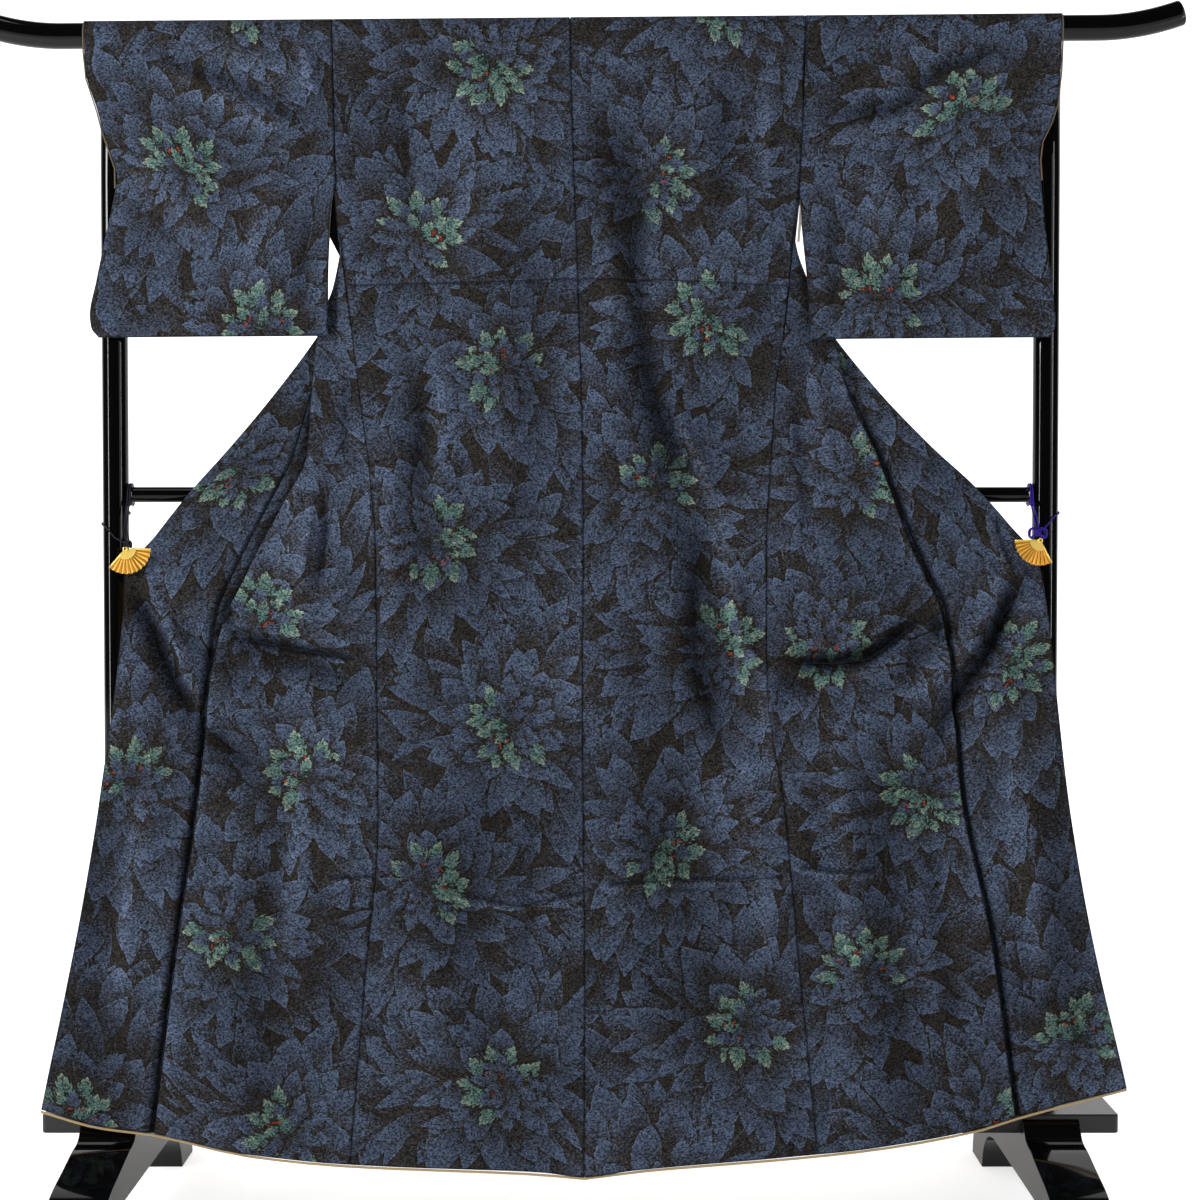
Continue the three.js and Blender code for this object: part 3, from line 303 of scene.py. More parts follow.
def ripple(x, down):
    """The cloth is never quite flat: long, low waves that differ from place to place."""
    waves = [(0.021, 0.006, 0.4, 0.9), (0.037, -0.011, 1.9, 0.55), (0.012, 0.017, 3.1, 0.8),
             (0.055, 0.019, 0.7, 0.25), (-0.028, 0.031, 2.2, 0.35), (0.009, -0.043, 5.0, 0.3)]
    return sum(a * np.sin(kx * x + kd * down + phase) for kx, kd, phase, a in waves)


def body_relief(x, down):
    fade = smooth(18, 90, down)
    return (CREASE_SCALE * crease_depth(x, down, BODY_CREASES) + ripple(x, down)) * fade


def tuck_ledge(x, down):
    """The tuck sewn across the back: the cloth above it stands a little proud."""
    below = down - TUCK.at("down", x)
    return 1.3 * smooth(-1, 3, below) * (1 - smooth(3, 110, below))


def sleeve_relief(x, down):
    fade = smooth(16, 60, down) * (1 - 0.85 * smooth(575, 600, np.abs(x)))
    return (CREASE_SCALE * crease_depth(x, down, SLEEVE_CREASES) + 0.7 * ripple(x, down)) * fade


# ------------------------------------------------------------------ meshes
def link(obj):
    bpy.context.scene.collection.objects.link(obj)
    return obj


def mesh_object(name, points, faces, material, smooth_shade=True):
    """points in millimetres, faces as rows of four (or lists of any length)."""
    mesh = bpy.data.meshes.new(name)
    points = np.asarray(points, float) * MM
    if isinstance(faces, np.ndarray):
        count = len(faces)
        mesh.vertices.add(len(points))
        mesh.vertices.foreach_set("co", points.ravel())
        mesh.loops.add(count * 4)
        mesh.loops.foreach_set("vertex_index", faces.ravel().astype(np.int32))
        mesh.polygons.add(count)
        mesh.polygons.foreach_set("loop_start", np.arange(0, count * 4, 4, dtype=np.int32))
        mesh.update(calc_edges=True)
    else:
        mesh.from_pydata([tuple(p) for p in points], [], faces)
        mesh.update()
    mesh.polygons.foreach_set("use_smooth", np.full(len(mesh.polygons), smooth_shade))
    mesh.materials.append(material)
    return link(bpy.data.objects.new(name, mesh))


def dress(obj, slot, *nodes):
    """Ties a piece to the one body and hides the solids that it stands for; its slot is not used."""
    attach(obj, "root")
    if nodes:
        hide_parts(*nodes)
    return obj


def prism_faces(k):
    """The faces of a prism: its first k points are one end's outline, and the next k the other's."""
    sides = [[i, (i + 1) % k, k + (i + 1) % k, k + i] for i in range(k)]
    return sides + [list(range(k))[::-1], list(range(k, 2 * k))]


def normals_of(grid, ring=False):
    if ring:
        along = np.roll(grid, -1, axis=0) - np.roll(grid, 1, axis=0)
    else:
        along = np.gradient(grid, axis=0)
    across = np.gradient(grid, axis=1)
    normal = np.cross(along, across)
    return normal / np.maximum(np.linalg.norm(normal, axis=2, keepdims=True), 1e-9)


def unit(v):
    return v / np.maximum(np.linalg.norm(v, axis=-1, keepdims=True), 1e-9)


ROUND = [(math.sin(a) * HALF, math.cos(a) * HALF) for a in (0.9, 1.8, math.pi)]
TONGUE = [(0.2, 0.2), (0.9, -HALF - 0.25), (4.0, -HALF - 0.35)]


def with_edges(middle, outward, uv, edges):
    """The outer face of a cloth: its middle surface moved out by half its thickness, with each named edge
    either turned round to the inside or run on as a tongue under its neighbour."""
    face = middle + outward * HALF
    for side in ("first", "last"):
        kind = edges.get(side)
        if not kind:
            continue
        at, inner = (0, 1) if side == "first" else (-1, -2)
        away = unit(middle[:, at] - middle[:, inner])
        lines, uvs = [], []
        for out, level in (ROUND if kind == "round" else TONGUE):
            lines.append(middle[:, at] + away * out + outward[:, at] * level)
            uvs.append(uv[:, at] + np.array([out if side == "last" else -out, 0.0]))
        lines, uvs = np.stack(lines, 1), np.stack(uvs, 1)
        if side == "first":
            face = np.concatenate([lines[:, ::-1], face], 1)
            uv = np.concatenate([uvs[:, ::-1], uv], 1)
            middle = np.concatenate([np.repeat(middle[:, :1], len(ROUND), 1), middle], 1)
            outward = np.concatenate([np.repeat(outward[:, :1], len(ROUND), 1), outward], 1)
        else:
            face = np.concatenate([face, lines], 1)
            uv = np.concatenate([uv, uvs], 1)
            middle = np.concatenate([middle, np.repeat(middle[:, -1:], len(ROUND), 1)], 1)
            outward = np.concatenate([outward, np.repeat(outward[:, -1:], len(ROUND), 1)], 1)
    for side in ("top", "bottom"):
        kind = edges.get(side)
        if not kind:
            continue
        at, inner = (0, 1) if side == "top" else (-1, -2)
        away = unit(middle[at] - middle[inner])
        shift = face[at] - middle[at] - outward[at] * HALF
        lines, uvs = [], []
        for out, level in (ROUND if kind == "round" else TONGUE):
            lines.append(middle[at] + shift + away * out + outward[at] * level)
            uvs.append(uv[at] + np.array([0.0, out if side == "bottom" else -out]))
        lines, uvs = np.stack(lines), np.stack(uvs)
        if side == "top":
            face, uv = np.concatenate([lines[::-1], face]), np.concatenate([uvs[::-1], uv])
        else:
            face, uv = np.concatenate([face, lines]), np.concatenate([uv, uvs])
    return face, uv


def grid_faces(n, m, ring=False, flip=False):
    rows = np.arange(n if ring else n - 1)
    i, j = np.meshgrid(rows, np.arange(m - 1), indexing="ij")
    i, j = i.ravel(), j.ravel()
    k = (i + 1) % n
    corners = [i * m + j, k * m + j, k * m + j + 1, i * m + j + 1]
    if flip:
        corners = corners[::-1]
    return np.stack(corners, 1)


def put_uv(mesh, faces, uv):
    flat = uv.reshape(-1, 2)[faces.ravel()]
    layer = mesh.uv_layers.new(name="cloth")
    layer.data.foreach_set("uv", (flat * MM).astype(np.float32).ravel())
    return flat.reshape(-1, 4, 2)


def put_shade(mesh, depth):
    """How deep in a trough each point lies, for the painted shade between folds and the painted light on
    ridges.
    """
    layer = mesh.attributes.new("depth", "FLOAT", "POINT")
    layer.data.foreach_set("value", depth.astype(np.float32).ravel())


def inset(grid, amount, ring=False):
    """Draws a surface's side edges in by this much, and its top and bottom unless it is a ring."""
    grid = grid.copy()

    def drawn_in(edge, inner):
        gap = np.linalg.norm(inner - edge, axis=-1, keepdims=True)
        return edge + unit(inner - edge) * np.minimum(amount, 0.4 * gap)

    grid[:, 0] = drawn_in(grid[:, 0], grid[:, 1])
    grid[:, -1] = drawn_in(grid[:, -1], grid[:, -2])
    if not ring:
        grid[0] = drawn_in(grid[0], grid[1])
        grid[-1] = drawn_in(grid[-1], grid[-2])
    return grid


def rows_down(first, last, step):
    """Distances down the cloth: close together over the rail, then evenly."""
    arc = [CLOTH_RADIUS * (1 - math.cos(a)) for a in np.linspace(0, math.pi / 2, 12)]
    arc = [d for d in arc if d >= first]
    start = arc[-1] if arc else first
    even = np.linspace(start, last, max(2, int(round((last - start) / step)) + 1))
    return np.array(sorted(set(arc) | set(even.tolist())))


# ------------------------------------------------------------------ the garment's middle surfaces
def back_surface(seam_column, step):
    inward = 1 if seam_column == "left" else -1
    down = rows_down(0, LENGTH, step)[:, None]
    seam = BACK_SEAMS.at(seam_column, down) + inward * SEAM_GAP / 2
    centre = BACK_SEAMS.at("centre", down) - inward * SEAM_GAP / 2
    t = np.linspace(0, 1, int(round(BACK_WIDTH / step)) + 1)[None, :]
    x = mix(seam, centre, t)
    relief = fold_depth(x, down) + body_relief(x, down)
    y = np.minimum(hang_y(down) + relief + tuck_ledge(x, down), -0.5)
    grid = np.stack([x, y, height_at(x, down)], 2)
    uv = np.stack([(x - BACK_SEAMS.at("centre", down)) + 0 * down, down + 0 * x], 2)
    # The shade returned is painted: darker in the folds' troughs and in a line just below the tuck, lighter
    # on ridges and just above the tuck.
    below = down - TUCK.at("down", x)
    shade = relief + 6 * np.exp(-(((below - 1.5) / 2.2) ** 2)) - 1.5 * np.exp(-(((below + 5) / 4) ** 2))
    return grid, uv, shade


def front_surface(table, seam_column, step):
    inward = 1 if seam_column == "left" else -1
    down = rows_down(0, LENGTH, step)[:, None]
    read = lambda name: table.at(name, down)
    depth = lambda name: FRONT_DEPTHS.at(name, down)
    open_fold, open_tuck = depth("open_fold"), depth("open_tuck")
    side = BACK_SEAMS.at(seam_column, down) + inward * SEAM_GAP / 2
    fold, tuck, end = read("fold"), read("tuck"), read("end")
    turned = smooth(240, SIDE_START, down) * (1 - smooth(350, 430, down))
    beside = smooth(140, 200, down) * (1 - smooth(240, SIDE_START, down))
    side_x = side - inward * (SEAM_GAP + turned) + inward * beside
    bulge = PLEAT_PITCH / 2
    pitch_fold, pitch_tuck = PLEAT_PITCH * (1 - open_fold), PLEAT_PITCH * (1 - open_tuck)
    fine = step < COARSE - 1
    run_1 = np.linspace(0, 1, 66 if fine else 34)[None, :]
    run_2 = np.linspace(0, 1, 22 if fine else 14)[None, :]
    run_3 = np.linspace(0, 1, 30 if fine else 16)[None, :]
    turn = np.linspace(0, math.pi, 9)[None, 1:-1]
    xs = [mix(side_x, fold, run_1),
          fold + inward * mix(-bulge * np.sin(turn), 5 * turn / math.pi, open_fold),
          mix(fold + inward * 5 * open_fold, tuck, run_2),
          tuck + inward * mix(bulge * np.sin(turn), 5 * turn / math.pi, open_tuck),
          mix(tuck + inward * 5 * open_tuck, end, run_3)]
    behinds = [mix(depth("at_side"), depth("at_fold"), run_1),
               depth("at_fold") + pitch_fold * (1 - np.cos(turn)) / 2,
               mix(depth("at_fold") + pitch_fold, depth("at_tuck"), run_2),
               depth("at_tuck") + pitch_tuck * (1 - np.cos(turn)) / 2,
               mix(depth("at_tuck") + pitch_tuck, depth("at_end"), run_3)]
    x, behind = np.concatenate(xs, 1), np.concatenate(behinds, 1)
    over_rail = down < CLOTH_RADIUS
    y = np.where(over_rail, np.maximum(-hang_y(down), 0.5), hang_y(down) + behind)
    relief = (fold_depth(x, down) + body_relief(x, down)) * smooth(SIDE_START, 500, down)
    grid = np.stack([x, y + relief * (down > SIDE_START), height_at(x, down)], 2)
    along = np.concatenate([np.zeros((len(down), 1)), np.cumsum(np.hypot(np.diff(x, axis=1),
                            np.diff(behind, axis=1)), 1)], 1)
    uv = np.stack([along * -inward, down + 0 * x], 2)
    # The part behind the fold lies in its shadow.
    past = np.zeros(x.shape)
    past[:, -run_3.shape[1]:] = 26 * np.exp(-np.maximum((fold - x[:, -run_3.shape[1]:]) * inward, 0) / 7)
    # Painted light along the fold's edge on its near side.
    painted_fold_edge_light = np.zeros(x.shape)
    count = run_1.shape[1]
    painted_fold_edge_light[:, :count] = -3 * np.exp(-np.abs(x[:, :count] - fold) / 5) * smooth(SIDE_START, 420, down)
    # The shade returned is painted: darker in troughs and behind the fold, lighter on ridges and along the
    # fold's edge.
    return grid, uv, relief + past * smooth(350, 420, down) + painted_fold_edge_light


def okumi_surface(table, column, step):
    outward = -1 if column == "left" else 1
    down = rows_down(OKUMI_START, LENGTH, step)[:, None]
    seam = table.at("end", down) + outward * (SEAM_GAP + 0.2)
    edge = FRONT_EDGE.at(column, down)
    reach = np.maximum((edge - seam) * outward, 4)
    at_seam, at_edge = FRONT_DEPTHS.at("at_end", down), FRONT_EDGE.at("behind", down)
    rise = smooth(500, 900, down)
    t = np.linspace(0, 1, int(round(OKUMI_WIDTH / step)) + 1)[None, :] ** 1.15
    x = seam + outward * reach * t
    behind = mix(mix(at_seam, at_edge, t), mix(at_seam, at_edge, smooth(0, 0.08, t)), rise)
    relief = (fold_depth(x, down) + body_relief(x, down)) * smooth(SIDE_START, 500, down)
    y = hang_y(down) + behind + relief
    y = np.where(np.abs(x) > 588, np.minimum(y, -20.5), y)
    grid = np.stack([x, y, height_at(x, down)], 2)
    uv = np.stack([(x - seam), down + 0 * x], 2)
    # Painted shade in a dark line along the okumi's seam.
    painted_seam_shade = 24 * np.exp(-((x - seam) * outward / 4) ** 2) * smooth(480, 640, down)
    return grid, uv, relief + painted_seam_shade


def collar_surface(column, step):
    outward = -1 if column == "left" else 1
    neck = float(FRONT_EDGE.at(column, 0))
    path = []
    for t in np.linspace(0, 0.7, 14):
        x = mix(CENTRE_X + outward * SEAM_GAP / 2, neck, t)
        path.append((x, CLOTH_RADIUS + 6, RAIL_Z + rail_lift(x) + 8 - 4 * t))
    for down in np.linspace(30, COLLAR_END, int((COLLAR_END - 30) / step)):
        x = float(FRONT_EDGE.at(column, down))
        behind = float(FRONT_EDGE.at("behind", down)) + COLLAR_BEHIND
        relief = float((fold_depth(x, down) + body_relief(x, down)) * smooth(SIDE_START, 500, down))
        path.append((x, float(hang_y(down)) + behind + relief, float(height_at(x, down))))
    path = np.array(path)
    slope = np.gradient(path, axis=0)
    length = np.hypot(slope[:, 0], slope[:, 2])
    turn = smooth(60, 140, np.cumsum(np.concatenate([[0], np.hypot(*np.diff(path[:, [0, 2]], axis=0).T)])))
    wide = np.stack([outward * slope[:, 2] / length * turn, 0 * length,
                     mix(-1, -np.abs(slope[:, 0]) / length, turn)], 1)
    wide = unit(wide)
    t = np.linspace(0, 1, int(COLLAR_WIDTH / step) + 1)
    grid = path[:, None] + wide[:, None] * (COLLAR_WIDTH * t)[None, :, None]
    run = np.concatenate([[0], np.cumsum(np.linalg.norm(np.diff(path, axis=0), axis=1))])
    uv = np.stack(np.broadcast_arrays((COLLAR_WIDTH * t)[None, :], run[:, None]), 2)
    return grid, uv


def sleeve_y(down):
    return hang_y(down) - SLEEVE_FORWARD * smooth(240, 400, down)


def far_sleeve_y(down, t):
    at_armhole = mix(CLOTH_RADIUS, -12, smooth(CLOTH_RADIUS, 260, down))
    inner = mix(at_armhole, sleeve_y(down) + 4.6, smooth(226, 330, down))
    around_post = mix(CLOTH_RADIUS + 1.4, -20.5, smooth(155, 235, down))
    outer = mix(around_post, sleeve_y(down) + 3.2, smooth(225, 270, down))
    return mix(inner, outer, smooth(0.1, 0.95, t))


def sleeve_surface(table, column, step, far_step):
    """One loop of cloth: over the rail, down the near side, under, and up the far side."""
    outward = -1 if column == "left" else 1
    seam_x = float(BACK_SEAMS.at(column, 0))
    stretch = (height_at(seam_x, 0) - height_at(seam_x, ARMHOLE)) / ARMHOLE
    t = np.linspace(0, 1, int(round(SLEEVE_WIDTH / step)) + 1)[None, :]
    near = rows_down(0, SLEEVE_DROP - 2, step)[:, None]
    far = rows_down(0, SLEEVE_DROP - 2, far_step)[1:][::-1, None]

    def line(down, edge, y):
        sewn = BACK_SEAMS.at(column, down)
        inner = np.where(down <= ARMHOLE, sewn, table.at("inner", down)) + outward * SEAM_GAP
        x = mix(inner, table.at(edge, down), t)
        sag = SLEEVE_SAG[column] * smooth(235, 425, down)
        return np.stack([x, y(x), TOP_Z + rail_lift(x) - down * stretch - sag + 0 * x], 2)

    front = line(near, "outer", lambda x: sleeve_y(near) + sleeve_relief(x, near))
    over = far < CLOTH_RADIUS
    back = line(far, "cuff", lambda x: np.where(over, -hang_y(far), far_sleeve_y(far, t)
                                                + 0.5 * sleeve_relief(x, far) * smooth(235, 330, far)))
    bottom_down = np.array([[SLEEVE_DROP - 0.5], [SLEEVE_DROP], [SLEEVE_DROP - 0.5]])
    share = np.array([[0.15], [0.5], [0.85]])
    bottom = line(bottom_down, "outer", lambda x: 0 * x)
    bottom[:, :, 1] = mix(front[-1:, :, 1], back[:1, :, 1], share)
    grid = np.concatenate([front, bottom, back])
    v = np.concatenate([near, bottom_down + np.array([[0], [2], [4]]), 2 * SLEEVE_DROP - far])
    uv = np.stack(np.broadcast_arrays(mix(0, SLEEVE_WIDTH, t) * outward, v), 2)
    # Painted shade: darker in the near side's creases, lighter on its ridges, and evenly dark over the bottom
    # and the far side.
    shade = np.zeros(grid.shape[:2])
    shade[:len(near)] = sleeve_relief(front[:, :, 0], near)
    shade[len(near):] = 6
    return grid, uv, shade


# ------------------------------------------------------------------ materials
class Graph:
    """Short names for a material's nodes."""

    def __init__(self, name):
        self.material = bpy.data.materials.new(name)
        self.material.use_nodes = True
        self.tree = self.material.node_tree
        self.tree.nodes.clear()
        self.shader = self.node("ShaderNodeBsdfPrincipled")
        output = self.node("ShaderNodeOutputMaterial")
        self.tree.links.new(self.shader.outputs[0], output.inputs["Surface"])

    def node(self, kind, **settings):
        n = self.tree.nodes.new(kind)
        for key, value in settings.items():
            setattr(n, key, value)
        return n

    def plug(self, socket, value):
        if isinstance(value, bpy.types.NodeSocket):
            self.tree.links.new(value, socket)
        elif value is not None:
            socket.default_value = value

    def math(self, operation, a, b=None, c=None, clamp=False):
        n = self.node("ShaderNodeMath", operation=operation, use_clamp=clamp)
        for socket, value in zip(n.inputs, (a, b, c)):
            self.plug(socket, value)
        return n.outputs[0]

    def ramp(self, value, a, b, to_a=0.0, to_b=1.0):
        n = self.node("ShaderNodeMapRange", interpolation_type="SMOOTHSTEP")
        self.plug(n.inputs[0], value)
        for socket, v in zip(n.inputs[1:5], (a, b, to_a, to_b)):
            self.plug(socket, v)
        return n.outputs[0]

    def blend(self, share, a, b):
        n = self.node("ShaderNodeMix", data_type="RGBA")
        self.plug(n.inputs[0], share)
        self.plug(n.inputs[6], a)
        self.plug(n.inputs[7], b)
        return n.outputs[2]

    def scale_color(self, color, amount):
        n = self.node("ShaderNodeMix", data_type="RGBA", blend_type="MULTIPLY")
        n.inputs[0].default_value = 1.0
        grey = self.node("ShaderNodeCombineColor")
        for socket in grey.inputs[:3]:
            self.plug(socket, amount)
        self.plug(n.inputs[6], color)
        self.plug(n.inputs[7], grey.outputs[0])
        return n.outputs[2]

    def attribute(self, name):
        n = self.node("ShaderNodeAttribute", attribute_name=name)
        split = self.node("ShaderNodeSeparateColor")
        self.tree.links.new(n.outputs["Color"], split.inputs[0])
        return (*split.outputs[:3], n.outputs["Alpha"])

    def noise(self, vector, scale, detail=2.0, roughness=0.5):
        n = self.node("ShaderNodeTexNoise")
        self.plug(n.inputs["Vector"], vector)
        n.inputs["Scale"].default_value = scale
        n.inputs["Detail"].default_value = detail
        n.inputs["Roughness"].default_value = roughness
        return n.outputs["Fac"]

    def vector(self, x, y, z=0.0):
        n = self.node("ShaderNodeCombineXYZ")
        for socket, value in zip(n.inputs, (x, y, z)):
            self.plug(socket, value)
        return n.outputs[0]

    def bump(self, height, strength, distance):
        n = self.node("ShaderNodeBump")
        n.inputs["Strength"].default_value = strength
        n.inputs["Distance"].default_value = distance
        self.plug(n.inputs["Height"], height)
        self.plug(self.shader.inputs["Normal"], n.outputs[0])

    def set(self, **values):
        for key, value in values.items():
            self.plug(self.shader.inputs[key.replace("_", " ")], value)


def rgb(r, g, b):
    """A display colour from 0 to 255 as the linear one that a shader takes."""
    return tuple((c / 255 / 12.92) if c <= 10 else (((c / 255) + 0.055) / 1.055) ** 2.4
                 for c in (r, g, b)) + (1.0,)


BLUE = rgb(63, 73, 92)
BLUE_DEEP = rgb(50, 56, 68)
GROUND = rgb(34, 28, 20)
GROUND_BLUE = rgb(48, 49, 54)
TEAL = rgb(70, 92, 88)
TEAL_DEEP = rgb(32, 42, 40)
TEAL_EDGE = rgb(112, 126, 112)
RED = rgb(110, 50, 36)
RIM = rgb(92, 102, 118)
SHADOW = rgb(16, 14, 14)
THREAD = 2.0          # width of one visible fleck of the weave
# Half width along a leaf, as a share of its widest.
LEAF_PROFILE = [(0.0, 0.22), (0.15, 0.5), (0.35, 0.86), (0.55, 1.0), (0.75, 0.84), (0.9, 0.42), (1.0, 0.0)]


def silk_material():
    g = Graph("silk")
    uv = g.node("ShaderNodeUVMap", uv_map="cloth")
    split = g.node("ShaderNodeSeparateXYZ")
    g.tree.links.new(uv.outputs[0], split.inputs[0])
    u, v = split.outputs[0], split.outputs[1]
    cell_u = g.math("FLOOR", g.math("MULTIPLY", u, 1 / (THREAD * MM)))
    cell_v = g.math("FLOOR", g.math("MULTIPLY", v, 1 / (THREAD * 0.8 * MM)))
    fleck_node = g.node("ShaderNodeTexWhiteNoise", noise_dimensions="2D")
    g.plug(fleck_node.inputs["Vector"], g.vector(cell_u, cell_v))
    fleck = fleck_node.outputs["Value"]
    slub = g.noise(g.vector(g.math("MULTIPLY", u, 0.14), v), 900, 1.0)
    warp = g.noise(g.vector(u, g.math("MULTIPLY", v, 0.1)), 800, 1.0)
    cloud = g.noise(g.vector(u, v), 14, 2.0)
    ground = g.blend(g.math("MULTIPLY", fleck, 0.55), GROUND, GROUND_BLUE)
    color = ground
    for layer in ("leaf_b", "leaf_a"):
        t, b, tone, kind = g.attribute(layer)
        teal = g.ramp(kind, 1.4, 1.6)
        red = g.ramp(kind, 2.4, 2.6)
        curve = g.node("ShaderNodeFloatCurve")
        line = curve.mapping.curves[0]
        for along, width in LEAF_PROFILE[1:-1]:
            line.points.new(along, width)
        line.points[0].location = LEAF_PROFILE[0]
        line.points[-1].location = LEAF_PROFILE[-1]
        curve.mapping.update()
        g.plug(curve.inputs["Value"], t)
        # Teeth lean towards the tip: few and deep on the heart's leaves, slight on the others.
        side = g.math("ABSOLUTE", b)
        hearty = g.math("MINIMUM", kind, 1.0)
        forward = g.math("MULTIPLY_ADD", side, -0.2, t)
        teeth_count = g.math("MULTIPLY_ADD", hearty, -2.2, 7.0)
        tooth = g.math("SUBTRACT", g.math("FRACT", g.math("MULTIPLY", forward, teeth_count)), 0.5)
        amount = g.math("MULTIPLY_ADD", hearty, 0.5, 0.09)
        slim = g.math("MULTIPLY_ADD", g.math("MULTIPLY", hearty, t), -0.36, 1.04)
        width = g.math("MULTIPLY", g.math("MULTIPLY", curve.outputs[0], slim),
                       g.math("MULTIPLY_ADD", tooth, amount, 1.0))
        within = g.math("SUBTRACT", width, side)
        inside = g.ramp(within, -0.02, 0.05)
        ends = g.math("MULTIPLY", g.ramp(t, 0.0, 0.03), g.ramp(t, 1.03, 0.99))
        mask = g.math("MULTIPLY", inside, ends)
        # Blue towards the tip and brown towards the base, mixed thread by thread.
        lit_side = g.math("SIGN", g.math("SUBTRACT", g.math("FRACT", g.math("MULTIPLY", tone, 7.3)), 0.5))
        across = g.math("MULTIPLY_ADD", g.math("MULTIPLY", b, lit_side), 0.2, t)
        fade = g.math("MULTIPLY_ADD", tone, 0.3, across)
        share = g.ramp(g.math("MULTIPLY_ADD", hearty, 0.26, fade), 0.22, 0.94)
        dither = g.ramp(g.math("SUBTRACT", share, fleck), -0.16, 0.12)
        blue = g.blend(g.ramp(t, 0.45, 1.0), BLUE_DEEP, BLUE)
        plain = g.blend(dither, ground, blue)
        vein = g.ramp(side, 0.0, 0.09, 0.82, 1.0)
        green = g.blend(dither, TEAL_DEEP, g.blend(g.ramp(t, 0.7, 1.0), TEAL, TEAL_EDGE))
        green = g.scale_color(green, vein)
        leaf = g.blend(teal, plain, green)
        rim = g.math("MULTIPLY", g.ramp(within, 0.16, 0.04), g.ramp(t, 0.3, 0.7))
        rim_color = g.blend(teal, RIM, TEAL_EDGE)
        rim = g.math("MULTIPLY", rim, g.math("MULTIPLY_ADD", teal, 0.2, 0.6))
        leaf = g.blend(g.math("MULTIPLY", rim, g.math("MULTIPLY_ADD", fleck, 0.7, 0.1)), leaf, rim_color)
        leaf = g.blend(red, leaf, RED)
        shadow = g.math("MULTIPLY", g.ramp(within, -0.16, 0.0, 0.0, 0.3), g.ramp(t, 0.2, 0.6))
        color = g.blend(g.math("MULTIPLY", shadow, g.ramp(t, 1.12, 1.02)), color, SHADOW)
        color = g.blend(mask, color, leaf)
    second_node = g.node("ShaderNodeTexWhiteNoise", noise_dimensions="2D")
    g.plug(second_node.inputs["Vector"], g.vector(g.math("ADD", cell_u, 71.5), g.math("ADD", cell_v, 33.5)))
    brightness = g.math("MULTIPLY_ADD", second_node.outputs["Value"], 1.4, 0.18)
    brightness = g.math("MULTIPLY", brightness, g.math("MULTIPLY_ADD", slub, 0.5, 0.76))
    brightness = g.math("MULTIPLY", brightness, g.math("MULTIPLY_ADD", warp, 0.36, 0.84))
    brightness = g.math("MULTIPLY", brightness, g.math("MULTIPLY_ADD", cloud, 0.24, 0.88))
    # The depth attribute is painted shade and light: the cloth is darkened in troughs, seams and shaded
    # places, and lightened, up to 1.3 times, on ridges.
    depth = g.node("ShaderNodeAttribute", attribute_name="depth").outputs["Fac"]
    painted_shade_and_light = g.math("EXPONENT", g.math("MULTIPLY", depth, -0.098))
    brightness = g.math("MULTIPLY", brightness, g.math("MAXIMUM", g.math("MINIMUM", painted_shade_and_light, 1.3), 0.2))
    g.set(Base_Color=g.scale_color(color, brightness), Roughness=0.8, Specular_IOR_Level=0.06)
    g.bump(g.math("ADD", g.math("ADD", slub, warp), g.math("MULTIPLY", fleck, 0.5)), 0.35, 0.0006)
    return g.material


def plain_material(name, color, roughness=0.8, specular=0.3, metallic=0.0, coat=0.0, grain=0.0, scale=300):
    g = Graph(name)
    position = g.node("ShaderNodeTexCoord").outputs["Object"]
    speckle = g.noise(position, scale, 2.0)
    if grain:
        g.set(Base_Color=g.scale_color(color, g.math("MULTIPLY_ADD", speckle, grain, 1 - grain / 2)))
        g.bump(speckle, grain, 0.0005)
    else:
        g.set(Base_Color=color)
    g.set(Roughness=roughness, Specular_IOR_Level=specular, Metallic=metallic, Coat_Weight=coat,
          Coat_Roughness=0.05)
    return g.material


SILK = silk_material()
LINING = plain_material("lining_silk", rgb(222, 210, 190), 0.7, 0.3, grain=0.12, scale=900)
# A lighter copy of the lining, painted lighter for the strip that hangs in shade below the right armhole.
LINING_PAINTED_LIGHT = plain_material("lining_silk_painted_light", rgb(250, 244, 236), 0.7, 0.3, grain=0.06, scale=900)
HEM_LINING = plain_material("hem_lining_silk", rgb(150, 118, 76), 0.7, 0.3, grain=0.12, scale=900)
PIPING = plain_material("piping_silk", rgb(160, 138, 102), 0.7, 0.3, grain=0.15, scale=900)
LACQUER = plain_material("black_lacquer", rgb(3, 3, 3), 0.07, 0.25)
BOARD_LACQUER = plain_material("board_lacquer", rgb(28, 28, 29), 0.35, 0.3, grain=0.05, scale=60)
# A greyer, duller copy of the lacquer for the feet's flat sides: their grey sheen is painted into the colour.
FOOT_SIDE_PAINTED_SHEEN = plain_material("foot_side_painted_sheen", rgb(30, 28, 26), 0.3, 0.06)
GOLD = plain_material("gilt", rgb(250, 216, 112), 0.3, 0.6, metallic=0.5, grain=0.12, scale=500)
# A darker copy of the gilt: painted shade for every other pleat of the fans.
GOLD_PAINTED_SHADE = plain_material("gilt_painted_shade", rgb(186, 126, 36), 0.35, 0.5, metallic=0.6, grain=0.12,
                           scale=500)
CUFF_PIPING = plain_material("cuff_piping_silk", rgb(92, 80, 64), 0.7, 0.2, grain=0.15, scale=900)
DARK_CORD = plain_material("dark_cord", rgb(22, 14, 28), 0.75, 0.2, grain=0.5, scale=1200)
VIOLET_CORD = plain_material("violet_cord", rgb(40, 24, 120), 0.75, 0.2, grain=0.5, scale=1200)
# A near-black colour for painted shade: the dark lines along the tuck and the pressed lines, and the shaded
# far cloth at the left armhole.
PAINTED_SHADE_DARK = plain_material("painted_shade_dark", rgb(22, 23, 28), 0.8, 0.1, grain=0.2, scale=900)
STITCH = plain_material("stitch_thread", rgb(60, 66, 84), 0.8, 0.1, grain=0.2, scale=900)


